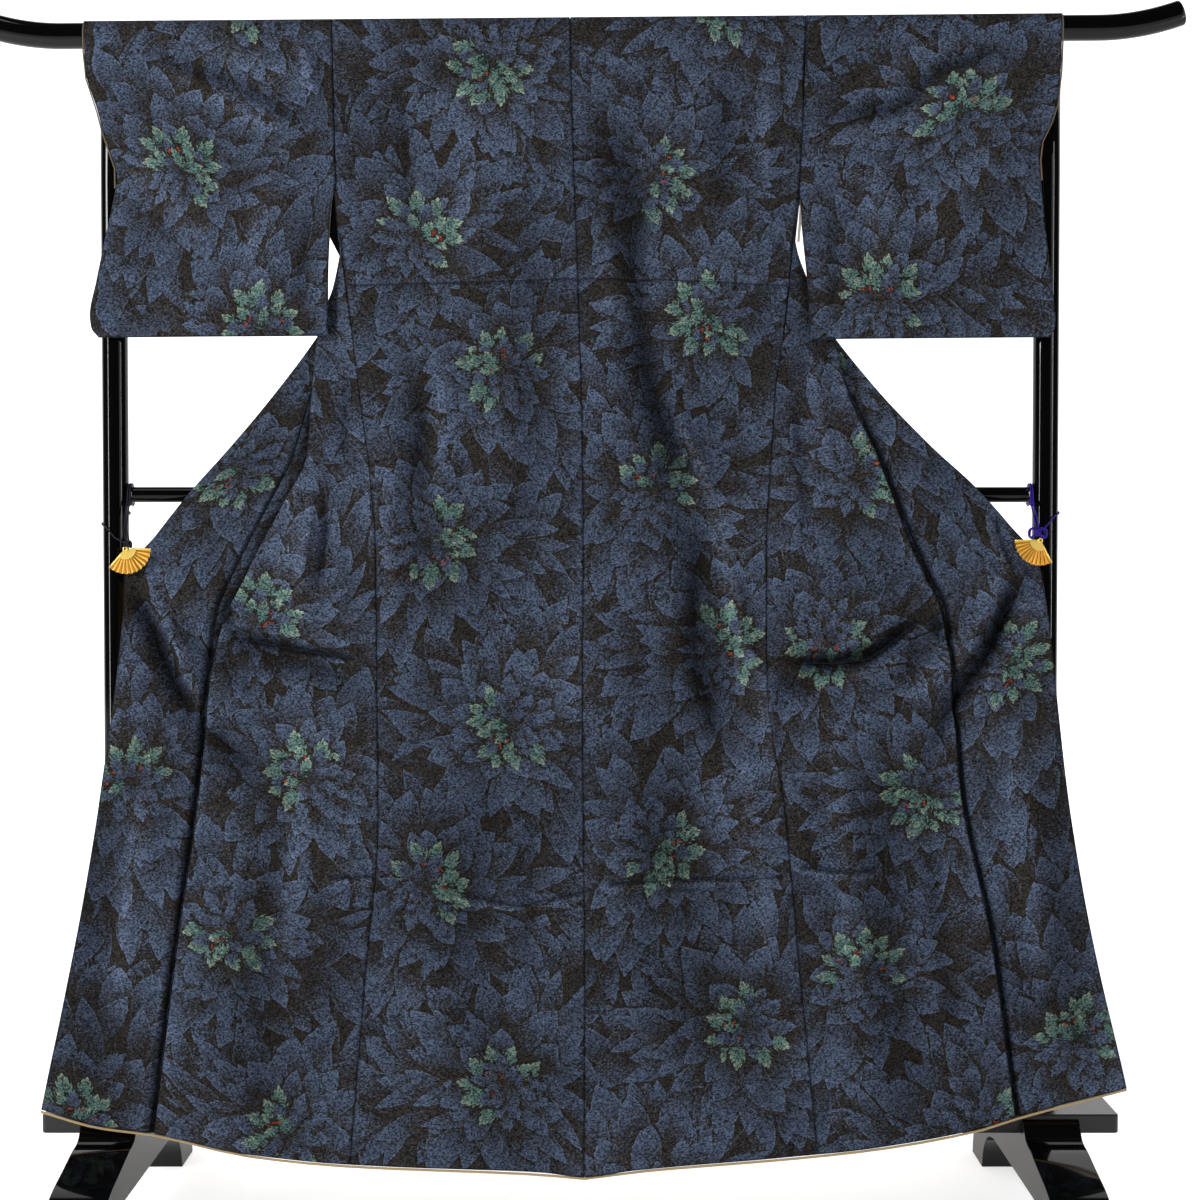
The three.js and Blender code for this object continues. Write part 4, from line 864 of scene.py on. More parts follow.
# ------------------------------------------------------------------ the woven leaves
# Rosettes by panel: x and height of the middle in mm, which way the light leaves face in degrees
# (0 is +X, 90 up), and how far the light crescent spans.
ROSETTES = {
    "back_left": [(-119, 1538, 262, 240), (-219, 1305, 45, 225), (-98, 1137, 140, 245), (-199, 909, 342, 225),
                  (-92, 666, 220, 235), (-197, 456, 42, 225), (-99, 198, 140, 240)],
    "back_right": [(91, 1383, 350, 215), (172, 1208, 215, 255), (98, 974, 72, 215), (180, 765, 30, 220),
                   (98, 509, 325, 230), (217, 278, 212, 245)],
    "front_left": [(-372, 1010, 350, 120), (-424, 810, 55, 230), (-354, 601, 136, 235), (-454, 397, 285, 255),
                   (-382, 138, 215, 250)],
    "front_right": [(327, 778, 278, 235), (452, 581, 230, 240), (374, 344, 75, 220), (368, 996, 10, 190)],
    "okumi_left": [(-452, 1004, 250, 210), (-590, 594, 115, 240), (-694, 100, 80, 200)],
    "okumi_right": [(340, 1130, 120, 180), (563, 745, 330, 230), (644, 264, 65, 215)],
    "sleeve_left": [(-520, 1396, 50, 250), (-414, 1186, 90, 225)],
    "sleeve_right": [(504, 1470, 110, 250), (391, 1221, 75, 230)],
}
PITCH_DOWN = 233      # from one rosette to the next, down the cloth
SIDESTEP = 56         # each lies this far to one side of the panel's middle, in turn


class Random:
    """A small generator of its own, so that every run draws the same leaves."""

    def __init__(self, seed):
        self.state = (seed * 2654435761 + 12345) % 2 ** 32

    def next(self, low=0.0, high=1.0):
        self.state = (1664525 * self.state + 1013904223) % 2 ** 32
        return low + (high - low) * self.state / 2 ** 32


# Two layers of rings round each rosette: reach of the tips, spacing along the ring, length, half width,
# lowest and highest tone (lower is browner), and how many of every hundred are left out.
UNDER_RINGS = [(300 - 43 * k, 38, 112, 18, -0.9, 0.1, 3) for k in range(5)]
OVER_RINGS = [(296, 41, 130, 20, -0.7, 0.6, 6), (236, 40, 130, 20, -0.6, 0.6, 7),
              (177, 38, 122, 20, -0.4, 0.7, 6), (124, 35, 100, 18.5, -0.2, 0.7, 4),
              (86, 31, 66, 15, -0.2, 0.5, 0)]
HEART = [(61, 11, 50, 12.8), (46, 9, 42, 11.5), (31, 7, 30, 9)]   # reach, leaves, length, half width


def leaves_of(centres, rng):
    """Leaves round each rosette, as rows of base u, base v, direction, length, half width, tone, kind
    (0 plain, 1 toothed, 2 light, 3 red), order and bend."""
    out = []
    rings = [(*ring, 0) for ring in UNDER_RINGS] + [(*ring, 1) for ring in OVER_RINGS]
    for index, (cu, cv, facing, span) in enumerate(centres):
        others = [(a, b) for k, (a, b, *_) in enumerate(centres) if k != index]
        for tip, spacing, length, half, low, high, missing, over in rings:
            turn, count = rng.next(0, 360), int(2 * math.pi * tip / spacing)
            for k in range(count):
                angle = math.radians(turn + 360 * (k + rng.next(-0.3, 0.3)) / count)
                reach = tip + rng.next(-19, 19)
                size = length * rng.next(0.78, 1.15)
                wide = half * rng.next(0.7, 1.2)
                # Narrow leaves stand in ladders to the rosette's sides.
                if over and abs(math.cos(angle)) > 0.82 and 110 < reach < 215:
                    wide *= 0.62
                # Further out the leaves swing round to lie along the cloth.
                swing = 0.6 * smooth(110, 260, reach) * math.cos(angle) * (1 if math.sin(angle) > 0 else -1)
                lean = angle + float(swing) + math.radians(rng.next(-17, 17))
                tip_u, tip_v = cu + reach * math.cos(angle), cv + reach * math.sin(angle)
                own = math.hypot(tip_u - cu, tip_v - cv)
                nearest = min([math.hypot(tip_u - a, tip_v - b) for a, b in others], default=1e9)
                draw = rng.next(0, 100)
                if nearest < own * (0.82 if over else 0.62) or draw < missing:
                    continue
                out.append((tip_u - size * math.cos(lean), tip_v - size * math.sin(lean), lean, size, wide,
                            rng.next(low, high), 0, 1000 - own + 60 * over + rng.next(-18, 18),
                            rng.next(-13, 13)))
        # The heart: blue leaves with teeth, and a crescent of light ones.
        for ring, (tip, count, length, half) in enumerate(HEART):
            turn = rng.next(0, 360)
            for k in range(count):
                angle = turn + 360 * (k + rng.next(-0.15, 0.15)) / count
                off = abs((angle - facing + 180) % 360 - 180)
                light = off < span / 2 if ring == 0 else off < span / 2.6 and rng.next() < 0.5
                a = math.radians(angle)
                size = length * rng.next(0.92, 1.15)
                reach = tip * rng.next(0.9, 1.1)
                lean = a + math.radians(rng.next(-14, 14))
                out.append((cu + reach * math.cos(a) - size * math.cos(lean),
                            cv + reach * math.sin(a) - size * math.sin(lean), lean, size,
                            half * rng.next(0.85, 1.1), rng.next(-0.3, 0.4), 2 if light else 1,
                            2000 + 100 * ring + rng.next(0, 50), rng.next(-5, 5)))
        for k in range(3):
            a, r = math.radians(facing + rng.next(-span / 3, span / 3)), rng.next(14, 32)
            out.append((cu + r * math.cos(a), cv + r * math.sin(a), rng.next(0, 6.28), rng.next(5, 9),
                        rng.next(1.3, 2.4), 0.5, 3, 2500 + k, 0))
    out.sort(key=lambda leaf: leaf[7])
    return np.array(out)


def on_leaf(points, leaf):
    """How far points lie along a leaf and aside of its midrib, in its own lengths and half widths."""
    bu, bv, angle, length, half, _, _, _, bend = leaf
    du, dv = points[..., 0] - bu, points[..., 1] - bv
    t = (du * np.cos(angle) + dv * np.sin(angle)) / length
    return t, (dv * np.cos(angle) - du * np.sin(angle) - bend * t * np.abs(t)) / half


def lay_leaves(mesh, corners, leaves):
    """Gives each face the two leaves that lie uppermost on it, in the leaves' own coordinates."""
    count = len(corners)
    top = np.full(count, -1)
    under = np.full(count, -1)
    centre = corners.mean(1)
    for k, leaf in enumerate(leaves):
        bu, bv, angle, length, half = leaf[:5]
        mu, mv = bu + math.cos(angle) * length / 2, bv + math.sin(angle) * length / 2
        near = np.flatnonzero(np.hypot(centre[:, 0] - mu, centre[:, 1] - mv) < length / 2 + half + 12)
        if not len(near):
            continue
        points = np.concatenate([corners[near], centre[near][:, None]], 1)
        t, b = on_leaf(points, leaf)
        width = np.interp(t, *zip(*LEAF_PROFILE))
        touched = near[((t > -0.01) & (t < 1.06) & (np.abs(b) < width * 1.12 + 1.6 / half)).any(1)]
        under[touched] = top[touched]
        top[touched] = k
    for name, which in (("leaf_a", top), ("leaf_b", under)):
        values = np.zeros((count, 4, 4), np.float32)
        values[:, :, 0] = -5
        has = which >= 0
        leaf = leaves[which[has]].T[:, :, None]
        values[has, :, 0], values[has, :, 1] = on_leaf(corners[has], leaf)
        values[has, :, 2], values[has, :, 3] = leaf[5], leaf[6]
        layer = mesh.attributes.new(name, "FLOAT_COLOR", "CORNER")
        layer.data.foreach_set("color", values.ravel())


def centres_on(panel, points, uv):
    """The rosettes' middles in the cloth's own flat coordinates, run on by the repeat where none is seen."""
    found = []
    flat_points, flat_uv = points.reshape(-1, 3), uv.reshape(-1, 2)
    for x, z, facing, span in ROSETTES.get(panel, []):
        near = np.hypot(flat_points[:, 0] - x, flat_points[:, 2] - z)
        seen = near < near.min() + 4
        pick = np.flatnonzero(seen)[np.argmin(flat_points[seen, 1])]
        found.append((*flat_uv[pick], 360 - facing, span))
    found.sort(key=lambda c: c[1])
    low, high = flat_uv[:, 1].min(), flat_uv[:, 1].max()
    middle = (flat_uv[:, 0].min() + flat_uv[:, 0].max()) / 2
    first, last = (found[0], found[-1]) if found else ((middle, 120, 30, 230), (middle, 120, 30, 230))
    filled = found or [first]
    side = 1 if first[0] > middle else -1
    v = first[1] - PITCH_DOWN
    while v > low - 120:
        side = -side
        filled.append((middle + side * SIDESTEP, v, 40 + 150 * (side > 0), 235))
        v -= PITCH_DOWN
    side = 1 if last[0] > middle else -1
    v = last[1] + PITCH_DOWN
    while v < high + 120:
        side = -side
        filled.append((middle + side * SIDESTEP, v, 200 - 150 * (side > 0), 235))
        v += PITCH_DOWN
    return filled


# ------------------------------------------------------------------ the garment
def outward_of(grid, ring=False):
    """A surface's normals, turned so that its near side faces the camera."""
    normal = normals_of(grid, ring)
    return normal if normal[len(normal) // 3, 3, 1] < 0 else -normal


PANEL_FACES = {}      # each panel's outer face, for what is laid on it
PAINTED_SHADE_SPOTS = {  # painted shade in small spots where the cloth puckers: x, down, half width, half height, how deep
    "okumi_left": [(-470, 800, 5, 16, 45), (-474, 832, 4, 8, 20)],
    "front_left": [(-462, 800, 5, 14, 40)],
    "okumi_right": [(470, 830, 5, 12, 30)],
    "front_right": [(466, 832, 6, 12, 30)],
}

LINES = [  # panel, points (x, down), width in mm, each drawn as a dark ribbon of painted shade: the first two are the tuck's edge
    ("back_left", [(-303, 357.5), (-224, 355), (-95, 351), (-14, 346.5)], 1.0),
    ("back_right", [(1, 346.5), (98, 351), (180, 357), (268, 363)], 1.0),
    ("back_left", [(-152, 1162), (-77, 1173), (2, 1150)], 0.9),
    ("back_right", [(40, 1143), (132, 1145), (262, 1149)], 0.9),
    ("front_left", [(-326, 1144), (-269, 1139)], 0.9),
    ("front_right", [(290, 1138), (330, 1147), (382, 1152)], 1.1),
    ("okumi_right", [(545, 700), (552, 735), (566, 768)], 0.8),
    ("front_right", [(300, 868), (331, 871), (378, 868), (410, 848), (440, 826)], 1.2),
    ("front_left", [(-432, 836), (-367, 845), (-300, 852)], 1.0),
]


def painted_crease_shade(panel, face):
    """How much painted shade darkens the cloth along the lines pressed into it, and how much painted light
    brightens it just below them.
    """
    extra = np.zeros(face.shape[:2])
    for where, places, _ in LINES[2:]:
        if where != panel:
            continue
        along = np.linspace(0, len(places) - 1, 40 * (len(places) - 1) + 1)
        xs, downs = (np.interp(along, range(len(places)), values) for values in zip(*places))
        aside, above = face[..., 0, None] - xs, face[..., 2, None] - height_at(xs, downs)
        away = np.hypot(aside, above)
        pick = away.argmin(-1)[..., None]
        near = np.take_along_axis(away, pick, -1)[..., 0]
        below = np.take_along_axis(above, pick, -1)[..., 0] < 0
        extra += 10 * np.exp(-(near / 3.6) ** 2) - below * 6 * np.exp(-((near - 7) / 4) ** 2)
    return extra


def woven(node, face, faces, uv, depth, seed):
    """The outer cloth over a face, with its leaves and its shading, as this node's silk."""
    obj = mesh_object(f"{node}_silk", face.reshape(-1, 3), faces, SILK)
    corners = put_uv(obj.data, faces, uv)
    lay_leaves(obj.data, corners, leaves_of(centres_on(node, face, uv), Random(seed)))
    put_shade(obj.data, depth)
    return dress(obj, "silk", node)


def cloth_piece(panel, surface, edges, seed, ring):
    """The outer cloth of one panel and its woven leaves."""
    grid, uv, depth = surface
    outward = outward_of(grid, ring)
    middle = inset(grid, HALF, ring)
    face, uv = with_edges(middle, outward, uv, edges)
    before = [len(ROUND) if edges.get(side) else 0 for side in ("top", "bottom", "first", "last")]
    depth = np.pad(depth, (before[:2], before[2:]), mode="edge")
    # Painted shade along the edges that turn round or run under a neighbour at the seams.
    for size, axis, start in zip(before, (0, 0, 1, 1), (0, -1, 0, -1)):
        if size:
            edge = slice(0, size + 1) if start == 0 else slice(-size - 1, None)
            depth[(edge, slice(None)) if axis == 0 else (slice(None), edge)] += 5
    # Painted shade spots where the cloth puckers.
    for x, down, wide, tall, deep in PAINTED_SHADE_SPOTS.get(panel, []):
        away = ((face[..., 0] - x) / wide) ** 2 + ((face[..., 2] - height_at(x, down)) / tall) ** 2
        depth += deep * np.exp(-away)
    # Painted shade along the pressed lines and painted light just below them.
    depth = depth + painted_crease_shade(panel, face)
    PANEL_FACES[panel] = face
    faces = grid_faces(*face.shape[:2], ring)
    flat_points = face.reshape(-1, 3)
    a, b, c = (flat_points[faces[:, k]] for k in (0, 1, 2))
    probe = np.cross(b - a, c - a)
    near = len(faces) // 3
    if (probe[near] * outward.reshape(-1, 3)[min(near, outward.size // 3 - 1)]).sum() < 0:
        faces = faces[:, ::-1]
    obj = woven(panel, face, faces, uv, depth, seed)


def lining_piece(panel, surface, material, ring):
    """The lining behind one panel."""
    grid, _, depth = surface
    outward = outward_of(grid, ring)
    # Where the outer cloth is creased its lining hangs further behind.
    level = HALF + 0.1 + np.clip(np.abs(depth) - 2, 0, 8)[..., None] * (0.0 if ring else 0.4)
    level = np.where(outward[..., 1:2] < -0.6, level, HALF + 0.1)
    face = inset(grid, HALF, ring) - outward * level
    obj = mesh_object(f"{panel}_lining", face.reshape(-1, 3), grid_faces(*face.shape[:2], ring), material)
    dress(obj, "lining", panel)


def both_layers(panel, surface, edges, seed, lining=LINING, ring=False):
    """A panel's outer cloth and its lining. surface(step) is its middle surface."""
    fine, coarse = surface(GRID), surface(COARSE)
    cloth_piece(panel, fine, edges, seed, ring)
    lining_piece(panel, coarse, lining, ring)


for side, seed in (("left", 11), ("right", 23)):
    front = FRONT_LEFT if side == "left" else FRONT_RIGHT
    sleeve = SLEEVE_LEFT if side == "left" else SLEEVE_RIGHT
    middle_edge = "tongue" if side == "right" else "round"
    both_layers(f"back_{side}", lambda step: back_surface(side, step),
                {"first": "tongue", "last": middle_edge, "top": "tongue", "bottom": "round"},
                seed)
    both_layers(f"front_{side}", lambda step: front_surface(front, side, step),
                {"first": "round", "last": "tongue", "top": "round", "bottom": "round"},
                seed + 1)
    both_layers(f"okumi_{side}", lambda step: okumi_surface(front, side, step),
                {"first": "round", "last": "round", "top": "round", "bottom": "round"},
                seed + 2, HEM_LINING)
    both_layers(f"sleeve_{side}", lambda step: sleeve_surface(sleeve, side, step, COARSE),
                {"first": "round", "last": "round"},
                seed + 3, ring=True)


def collar_piece(side, seed):
    """The collar is a folded band: cloth on both sides of it and round both its edges."""
    node = f"collar_{side}"
    grid, uv = collar_surface(side, COLLAR_GRID)
    outward = outward_of(grid)
    middle = inset(grid, COLLAR_THICKNESS / 2)
    half = COLLAR_THICKNESS / 2
    loops = [middle + outward * half]
    uvs = [uv]
    for at, inner, order in ((-1, -2, 1), (0, 1, -1)):
        away = unit(middle[:, at] - middle[:, inner])
        turn = [middle[:, at] + away * half * math.sin(a) + outward[:, at] * half * math.cos(a)
                for a in (0.8, 1.57, 2.34)]
        turn_uv = [uv[:, at] + np.array([order * 2.0 * k, 0]) for k in (1, 2, 3)]
        if order > 0:
            loops.append(np.stack(turn, 1))
            uvs.append(np.stack(turn_uv, 1))
            loops.append((middle - outward * half)[:, ::-1])
            uvs.append(np.stack([2 * COLLAR_WIDTH - uv[..., 0], uv[..., 1]], 2)[:, ::-1])
        else:
            loops.append(np.stack(turn[::-1], 1))
            uvs.append(np.stack(turn_uv[::-1], 1) + np.array([2 * COLLAR_WIDTH + 8, 0]))
    loops.append(loops[0][:, :1])
    uvs.append(uvs[-1][:, -1:] + np.array([2.0, 0]))
    face, uv = np.concatenate(loops, 1), np.concatenate(uvs, 1)
    # The whole collar gets an even painted shade, as at a depth of 4 in a trough.
    obj = woven(node, face, grid_faces(*face.shape[:2]), uv, np.full(face.shape[:2], 4.0), seed)


collar_piece("left", 41)
collar_piece("right", 43)


# ------------------------------------------------------------------ stitches sewn into the cloth, and dark ribbons of painted shade along its tuck and pressed lines
def lying_on(panel, places, lift):
    """Points (x, down) brought onto a panel's outer face, a little proud of it."""
    face = PANEL_FACES[panel].reshape(-1, 3)
    out = []
    for x, down in places:
        z = float(height_at(x, down))
        away = np.hypot(face[:, 0] - x, face[:, 2] - z)
        front = np.where(away < 9, face[:, 1], 1e3).min()
        away = np.where(face[:, 1] < front + 4, away, 1e3)
        near = np.argsort(away)[:4]
        weight = 1 / (away[near] + 0.3) ** 2
        out.append((x, float((face[near, 1] * weight).sum() / weight.sum()) - lift, z))
    return np.array(out)


def ribbon(points, width):
    """Four-cornered faces along a line that faces the camera."""
    points = np.asarray(points, float)
    along = unit(np.gradient(points, axis=0))
    across = np.stack([-along[:, 2], 0 * along[:, 0], along[:, 0]], 1) * width / 2
    corners = np.stack([points - across, points + across], 1).reshape(-1, 3)
    faces = [[2 * k, 2 * k + 2, 2 * k + 3, 2 * k + 1] for k in range(len(points) - 1)]
    return corners, faces


def resampled(places, step):
    places = np.array(places, float)
    run = np.concatenate([[0], np.cumsum(np.hypot(*np.diff(places, axis=0).T))])
    at = np.linspace(0, run[-1], max(2, int(run[-1] / step) + 1))
    return np.stack([np.interp(at, run, places[:, 0]), np.interp(at, run, places[:, 1])], 1)


def stitches_and_shade_ribbons(name, lines, lift, material):
    """One piece of ribbons that lie on the cloth, each a panel, its points (x, down) and its width."""
    corners, faces = [], []
    for panel, places, width in lines:
        points, quads = ribbon(lying_on(panel, places, lift), width)
        faces += [[k + len(corners) for k in quad] for quad in quads]
        corners += points.tolist()
    dress(mesh_object(name, corners, faces, material), "silk")


STITCH_PITCH = 4.5
STITCH_ABOVE = 2.4    # how far above the tuck's edge the stitches lie


def build_lines():
    # Every line is a dark ribbon of painted shade; the stitches along the tuck are real thread.
    lines = [(panel, resampled(places, 6), width) for panel, places, width in LINES]
    stitches_and_shade_ribbons("painted_shade_lines", lines, 0.25, PAINTED_SHADE_DARK)
    stitches = []
    for panel, places, _ in LINES[:2]:
        line = resampled(places, STITCH_PITCH)
        for (x, down), (x2, down2) in zip(line[:-1], line[1:]):
            ends = [(x, down - STITCH_ABOVE), (mix(x, x2, 0.5), mix(down, down2, 0.5) - STITCH_ABOVE)]
            stitches.append((panel, ends, 0.7))
    stitches_and_shade_ribbons("tuck_stitches", stitches, 0.2, STITCH)


def build_armholes():
    """The lining that peeps out below the right armhole, in a copy of the lining painted lighter against the
    shade it hangs in, and the far cloth that closes the left one's top, painted near black as the shade it
    lies in.
    """
    places = [(290.8, -20, 1358), (289.3, -21, 1340), (287.9, -21, 1318), (286.6, -20, 1300)]
    dress(mesh_object("armhole_lining_strip", *ribbon(places, 3.6), LINING_PAINTED_LIGHT), "lining")
    corners = [(-336, -8, 1392), (-306, -8, 1392), (-306, -8, 1260), (-315.4, -8, 1278.4),
               (-331.8, -8, 1310.3), (-340, -8, 1326)]
    dress(mesh_object("armhole_silk_left", corners, [[0, 1, 2, 3, 4, 5]], PAINTED_SHADE_DARK), "silk")


build_lines()
build_armholes()


# ------------------------------------------------------------------ the stand
def tube(name, points, radii, material, sides=48, nodes=(), slot="lacquer", cap_round=0.0):
    """A round rod along points, with softly rounded ends."""
    points = np.asarray(points, float)
    radii = np.full(len(points), radii, float) if np.isscalar(radii) else np.asarray(radii, float)
    if cap_round:
        for end, step in ((0, 1), (-1, -1)):
            away = unit(points[end] - points[end + step])
            angles = np.linspace(0, math.pi / 2, 5)
            extra = points[end] - away * (cap_round * (1 - np.sin(angles)))[:, None]
            extra_r = radii[end] - cap_round * (1 - np.cos(angles))
            if end == 0:
                points = np.concatenate([extra[::-1], points[1:]])
                radii = np.concatenate([extra_r[::-1], radii[1:]])
            else:
                points = np.concatenate([points[:-1], extra])
                radii = np.concatenate([radii[:-1], extra_r])
    tangents = unit(np.gradient(points, axis=0))
    side = np.array([0.0, 1.0, 0.0])
    rings = []
    for point, tangent, radius in zip(points, tangents, radii):
        side = unit(side - tangent * side.dot(tangent))
        other = np.cross(tangent, side)
        angles = np.arange(sides) * 2 * math.pi / sides
        rings.append(point + radius * (np.cos(angles)[:, None] * side + np.sin(angles)[:, None] * other))
    n = len(rings)
    faces = [[i * sides + k, (i + 1) * sides + k, (i + 1) * sides + (k + 1) % sides,
              i * sides + (k + 1) % sides] for i in range(n - 1) for k in range(sides)]
    faces += [list(range(sides)), list(range((n - 1) * sides, n * sides))[::-1]]
    dress(mesh_object(name, np.concatenate(rings), faces, material), slot, *nodes)


def build_rail():
    straight = RAIL_HALF - RAIL_BEND
    bend = RAIL_BEND * np.linspace(0, 1, 16)
    xs = np.concatenate([-straight - bend[::-1], np.linspace(-straight, straight, 9)[1:-1], straight + bend])
    t = np.maximum(np.abs(xs) - straight, 0) / RAIL_BEND
    points = np.stack([xs, 0 * xs, RAIL_Z + rail_lift(xs) + RAIL_LIFT * t * t], 1)
    tube("rail_rod", points, RAIL_RADIUS, LACQUER, 64, ["rail"], cap_round=2.5)


def build_post(side, sign):
    x = sign * POST_X
    top = RAIL_Z + rail_lift(x) - RAIL_RADIUS - SEAM_GAP
    tube(f"post_{side}_rod", [(x, 0, z) for z in np.linspace(BOARD_Z + BOARD_HEIGHT + SEAM_GAP, top, 9)],
         POST_RADIUS, LACQUER, 64, [f"post_{side}"])


# Distance in from the crossbar's end and radius there, from its collar down to the bar.
BAR_COLLAR = [(0, BAR_COLLAR_RADIUS), (1, BAR_COLLAR_RADIUS), (3.5, BAR_COLLAR_RADIUS), (5, 12.6), (6, 11.6),
              (7.5, 10.6), (9, BAR_RADIUS)]


def build_crossbar():
    end = POST_X - POST_RADIUS - SEAM_GAP
    xs = [-end + a for a, _ in BAR_COLLAR] + [end - a for a, _ in BAR_COLLAR[::-1]]
    radii = [r for _, r in BAR_COLLAR] + [r for _, r in BAR_COLLAR[::-1]]
    tube("crossbar_rod", [(x, 0, BAR_Z) for x in xs], radii, LACQUER, 48, ["crossbar"])


def bevelled(obj, width, angle):
    """Rounds the edges that turn by more than angle, in degrees."""
    bevel = obj.modifiers.new("edge", "BEVEL")
    bevel.width = width * MM
    bevel.segments = 3
    bevel.limit_method = "ANGLE"
    bevel.angle_limit = math.radians(angle)
    bevel.harden_normals = True


def build_board():
    x, y, z0, z1 = BOARD_HALF, BOARD_DEPTH / 2, BOARD_Z, BOARD_Z + BOARD_HEIGHT
    r = BOARD_CORNER
    corners = []
    for k, (right, far) in enumerate(((1, -1), (1, 1), (-1, 1), (-1, -1))):
        for a in np.radians(np.linspace(90 * k - 90, 90 * k, 6)):
            corners.append((right * (x - r) + r * math.cos(a), far * (y - r) + r * math.sin(a)))
    points = [(a, b, z) for z in (z0, z1) for a, b in corners]
    obj = mesh_object("board_plank", points, prism_faces(len(corners)), BOARD_LACQUER)
    bevelled(obj, 2.2, 60)
    dress(obj, "lacquer", "base_board")


# Half a foot from the side, out from its middle and up: its shoulder and top, and the arch under it.
FOOT_START = (55.3, 129.7)
FOOT_TOP = [(55.3, 149), (61, 146), (68, 137), (75, 129), (86, 124.5), (105, 122), (155, 111), (205, 100),
            (245, 82), (275, 55), (292, 25), (298, 0)]
FOOT_ARCH = [(222, 0), (216, 20), (200, 42), (175, 58), (140, 66)]


def build_foot(side, sign):
    """A foot: its outline smoothed between the named points, then given its width."""
    half = [FOOT_START]
    for named in (FOOT_TOP, FOOT_ARCH):
        curve = Table("k out z", [(k, a, b) for k, (a, b) in enumerate(named)])
        along = np.linspace(0, len(named) - 1, 4 * (len(named) - 1) + 1)
        half += list(zip(curve.at("out", along), curve.at("z", along)))
    outline = [(-a, b) for a, b in half] + half[::-1]
    points = [(sign * POST_X + end * FOOT_WIDTH / 2, a, b) for end in (-1, 1) for a, b in outline]
    obj = mesh_object(f"foot_{side}_block", points, prism_faces(len(outline)), LACQUER)
    # The foot's two flat sides take the painted sheen copy of the lacquer.
    obj.data.materials.append(FOOT_SIDE_PAINTED_SHEEN)
    for face in (obj.data.polygons[-1], obj.data.polygons[-2]):
        face.material_index = 1
    bevelled(obj, 2.0, 50)
    dress(obj, "lacquer", f"foot_{side}")


build_rail()
build_crossbar()
build_board()
for side, sign in (("left", -1), ("right", 1)):
    build_post(side, sign)
    build_foot(side, sign)


# ------------------------------------------------------------------ the fans
# Where the rivet is, x and z, and the angles of the fan's two outer sticks in degrees.
FANS = {"left": (-593, 897, 0, -131), "right": (600, 908, -180, -62)}
FAN_Y = -49
FAN_RADII = [4, 9, 16, 24, 32.4]
FAN_PLEATS = 22
FAN_LEVELS = (-0.45, 0.45)        # the leaf's two faces
PLEAT_DEPTH = 1.5
RIM_ZIGZAG = 0.6
GUARD_STEPS = 14
GUARD_LEVELS = (FAN_Y - 2.1, FAN_Y - 1.5)
GUARD_RADII = (1, 13.5)


def round_rivet(side, reach, angle, y):
    """The point this far from a fan's rivet, its angle in radians from +X."""
    px, pz = FANS[side][:2]
    return (px + reach * math.cos(angle), y, pz + reach * math.sin(angle))


def build_leaf(side, start, end):
    """The pleated leaf with its zigzag rim, every other pleat in a darker copy of the gilt as painted shade.
    """
    points = []
    for level in FAN_LEVELS:
        for k in range(FAN_PLEATS + 1):
            ridge = -1 if k % 2 else 1
            for r in FAN_RADII:
                reach = r - RIM_ZIGZAG * ridge if r == FAN_RADII[-1] else r
                points.append(round_rivet(side, reach, math.radians(mix(start, end, k / FAN_PLEATS)),
                                          FAN_Y + level - ridge * PLEAT_DEPTH * min(r, 30) / 30))
    m, half = len(FAN_RADII), (FAN_PLEATS + 1) * len(FAN_RADII)
    faces = []
    for k in range(FAN_PLEATS):
        for a in range(k * m, k * m + m - 1):
            faces.append([a, a + 1, a + m + 1, a + m])
            faces.append([half + a, half + a + m, half + a + m + 1, half + a + 1])
        for a in (k * m, k * m + m - 1):
            faces.append([a, a + m, half + a + m, half + a])
    for k in (0, FAN_PLEATS):
        for a in range(k * m, k * m + m - 1):
            faces.append([a, a + 1, half + a + 1, half + a])
    leaf = mesh_object(f"fan_{side}_leaf", points, faces, GOLD, False)
    leaf.data.materials.append(GOLD_PAINTED_SHADE)
    per_pleat = 2 * (m - 1) + 2
    for k, face in enumerate(leaf.data.polygons):
        face.material_index = int(k < FAN_PLEATS * per_pleat and (k // per_pleat) % 2 == 1)
    dress(leaf, "gold", f"fan_{side}")


def build_guard(side, start, end):
    """The plain plate near the rivet, where the sticks lie over each other."""
    arc = [math.radians(mix(start, end, k / GUARD_STEPS)) for k in range(GUARD_STEPS + 1)]
    points = [round_rivet(side, r, a, y) for y in GUARD_LEVELS for r in GUARD_RADII for a in arc]
    n = len(arc)
    faces = []
    for k in range(GUARD_STEPS):
        faces += [[a + k, a + k + 1, b + k + 1, b + k] for a, b in ((0, n), (n, 3 * n))]
        faces += [[a + k, b + k, b + k + 1, a + k + 1] for a, b in ((2 * n, 3 * n), (0, 2 * n))]
    faces += [[0, n, 3 * n, 2 * n], [n - 1, 3 * n - 1, 4 * n - 1, 2 * n - 1]]
    dress(mesh_object(f"fan_{side}_guard", points, faces, GOLD, False), "gold")


def build_fan(side):
    """A pleated leaf, its guard, the rivet that the sticks turn on and the two outer sticks."""
    px, pz, start, end = FANS[side]
    build_leaf(side, start, end)
    build_guard(side, start, end)
    ring = [round_rivet(side, 2.6, a, FAN_Y - 2.9) for a in np.linspace(0, 2 * math.pi, 20)]
    tube(f"fan_{side}_rivet_ring", ring, 0.8, GOLD, 10, slot="gold")
    tube(f"fan_{side}_rivet", [(px, FAN_Y - y, pz) for y in (3.6, 2.8, 0.4)], [1.2, 1.8, 2.0], GOLD, 16,
         slot="gold")
    for k, angle in enumerate((start, end)):
        stick = [round_rivet(side, r, math.radians(angle), FAN_Y - 0.6) for r in (0, 12, 24, 32.8)]
        tube(f"fan_{side}_stick_{k + 1}", stick, [1.3, 1.2, 1.1, 0.9], GOLD, 8, slot="gold")


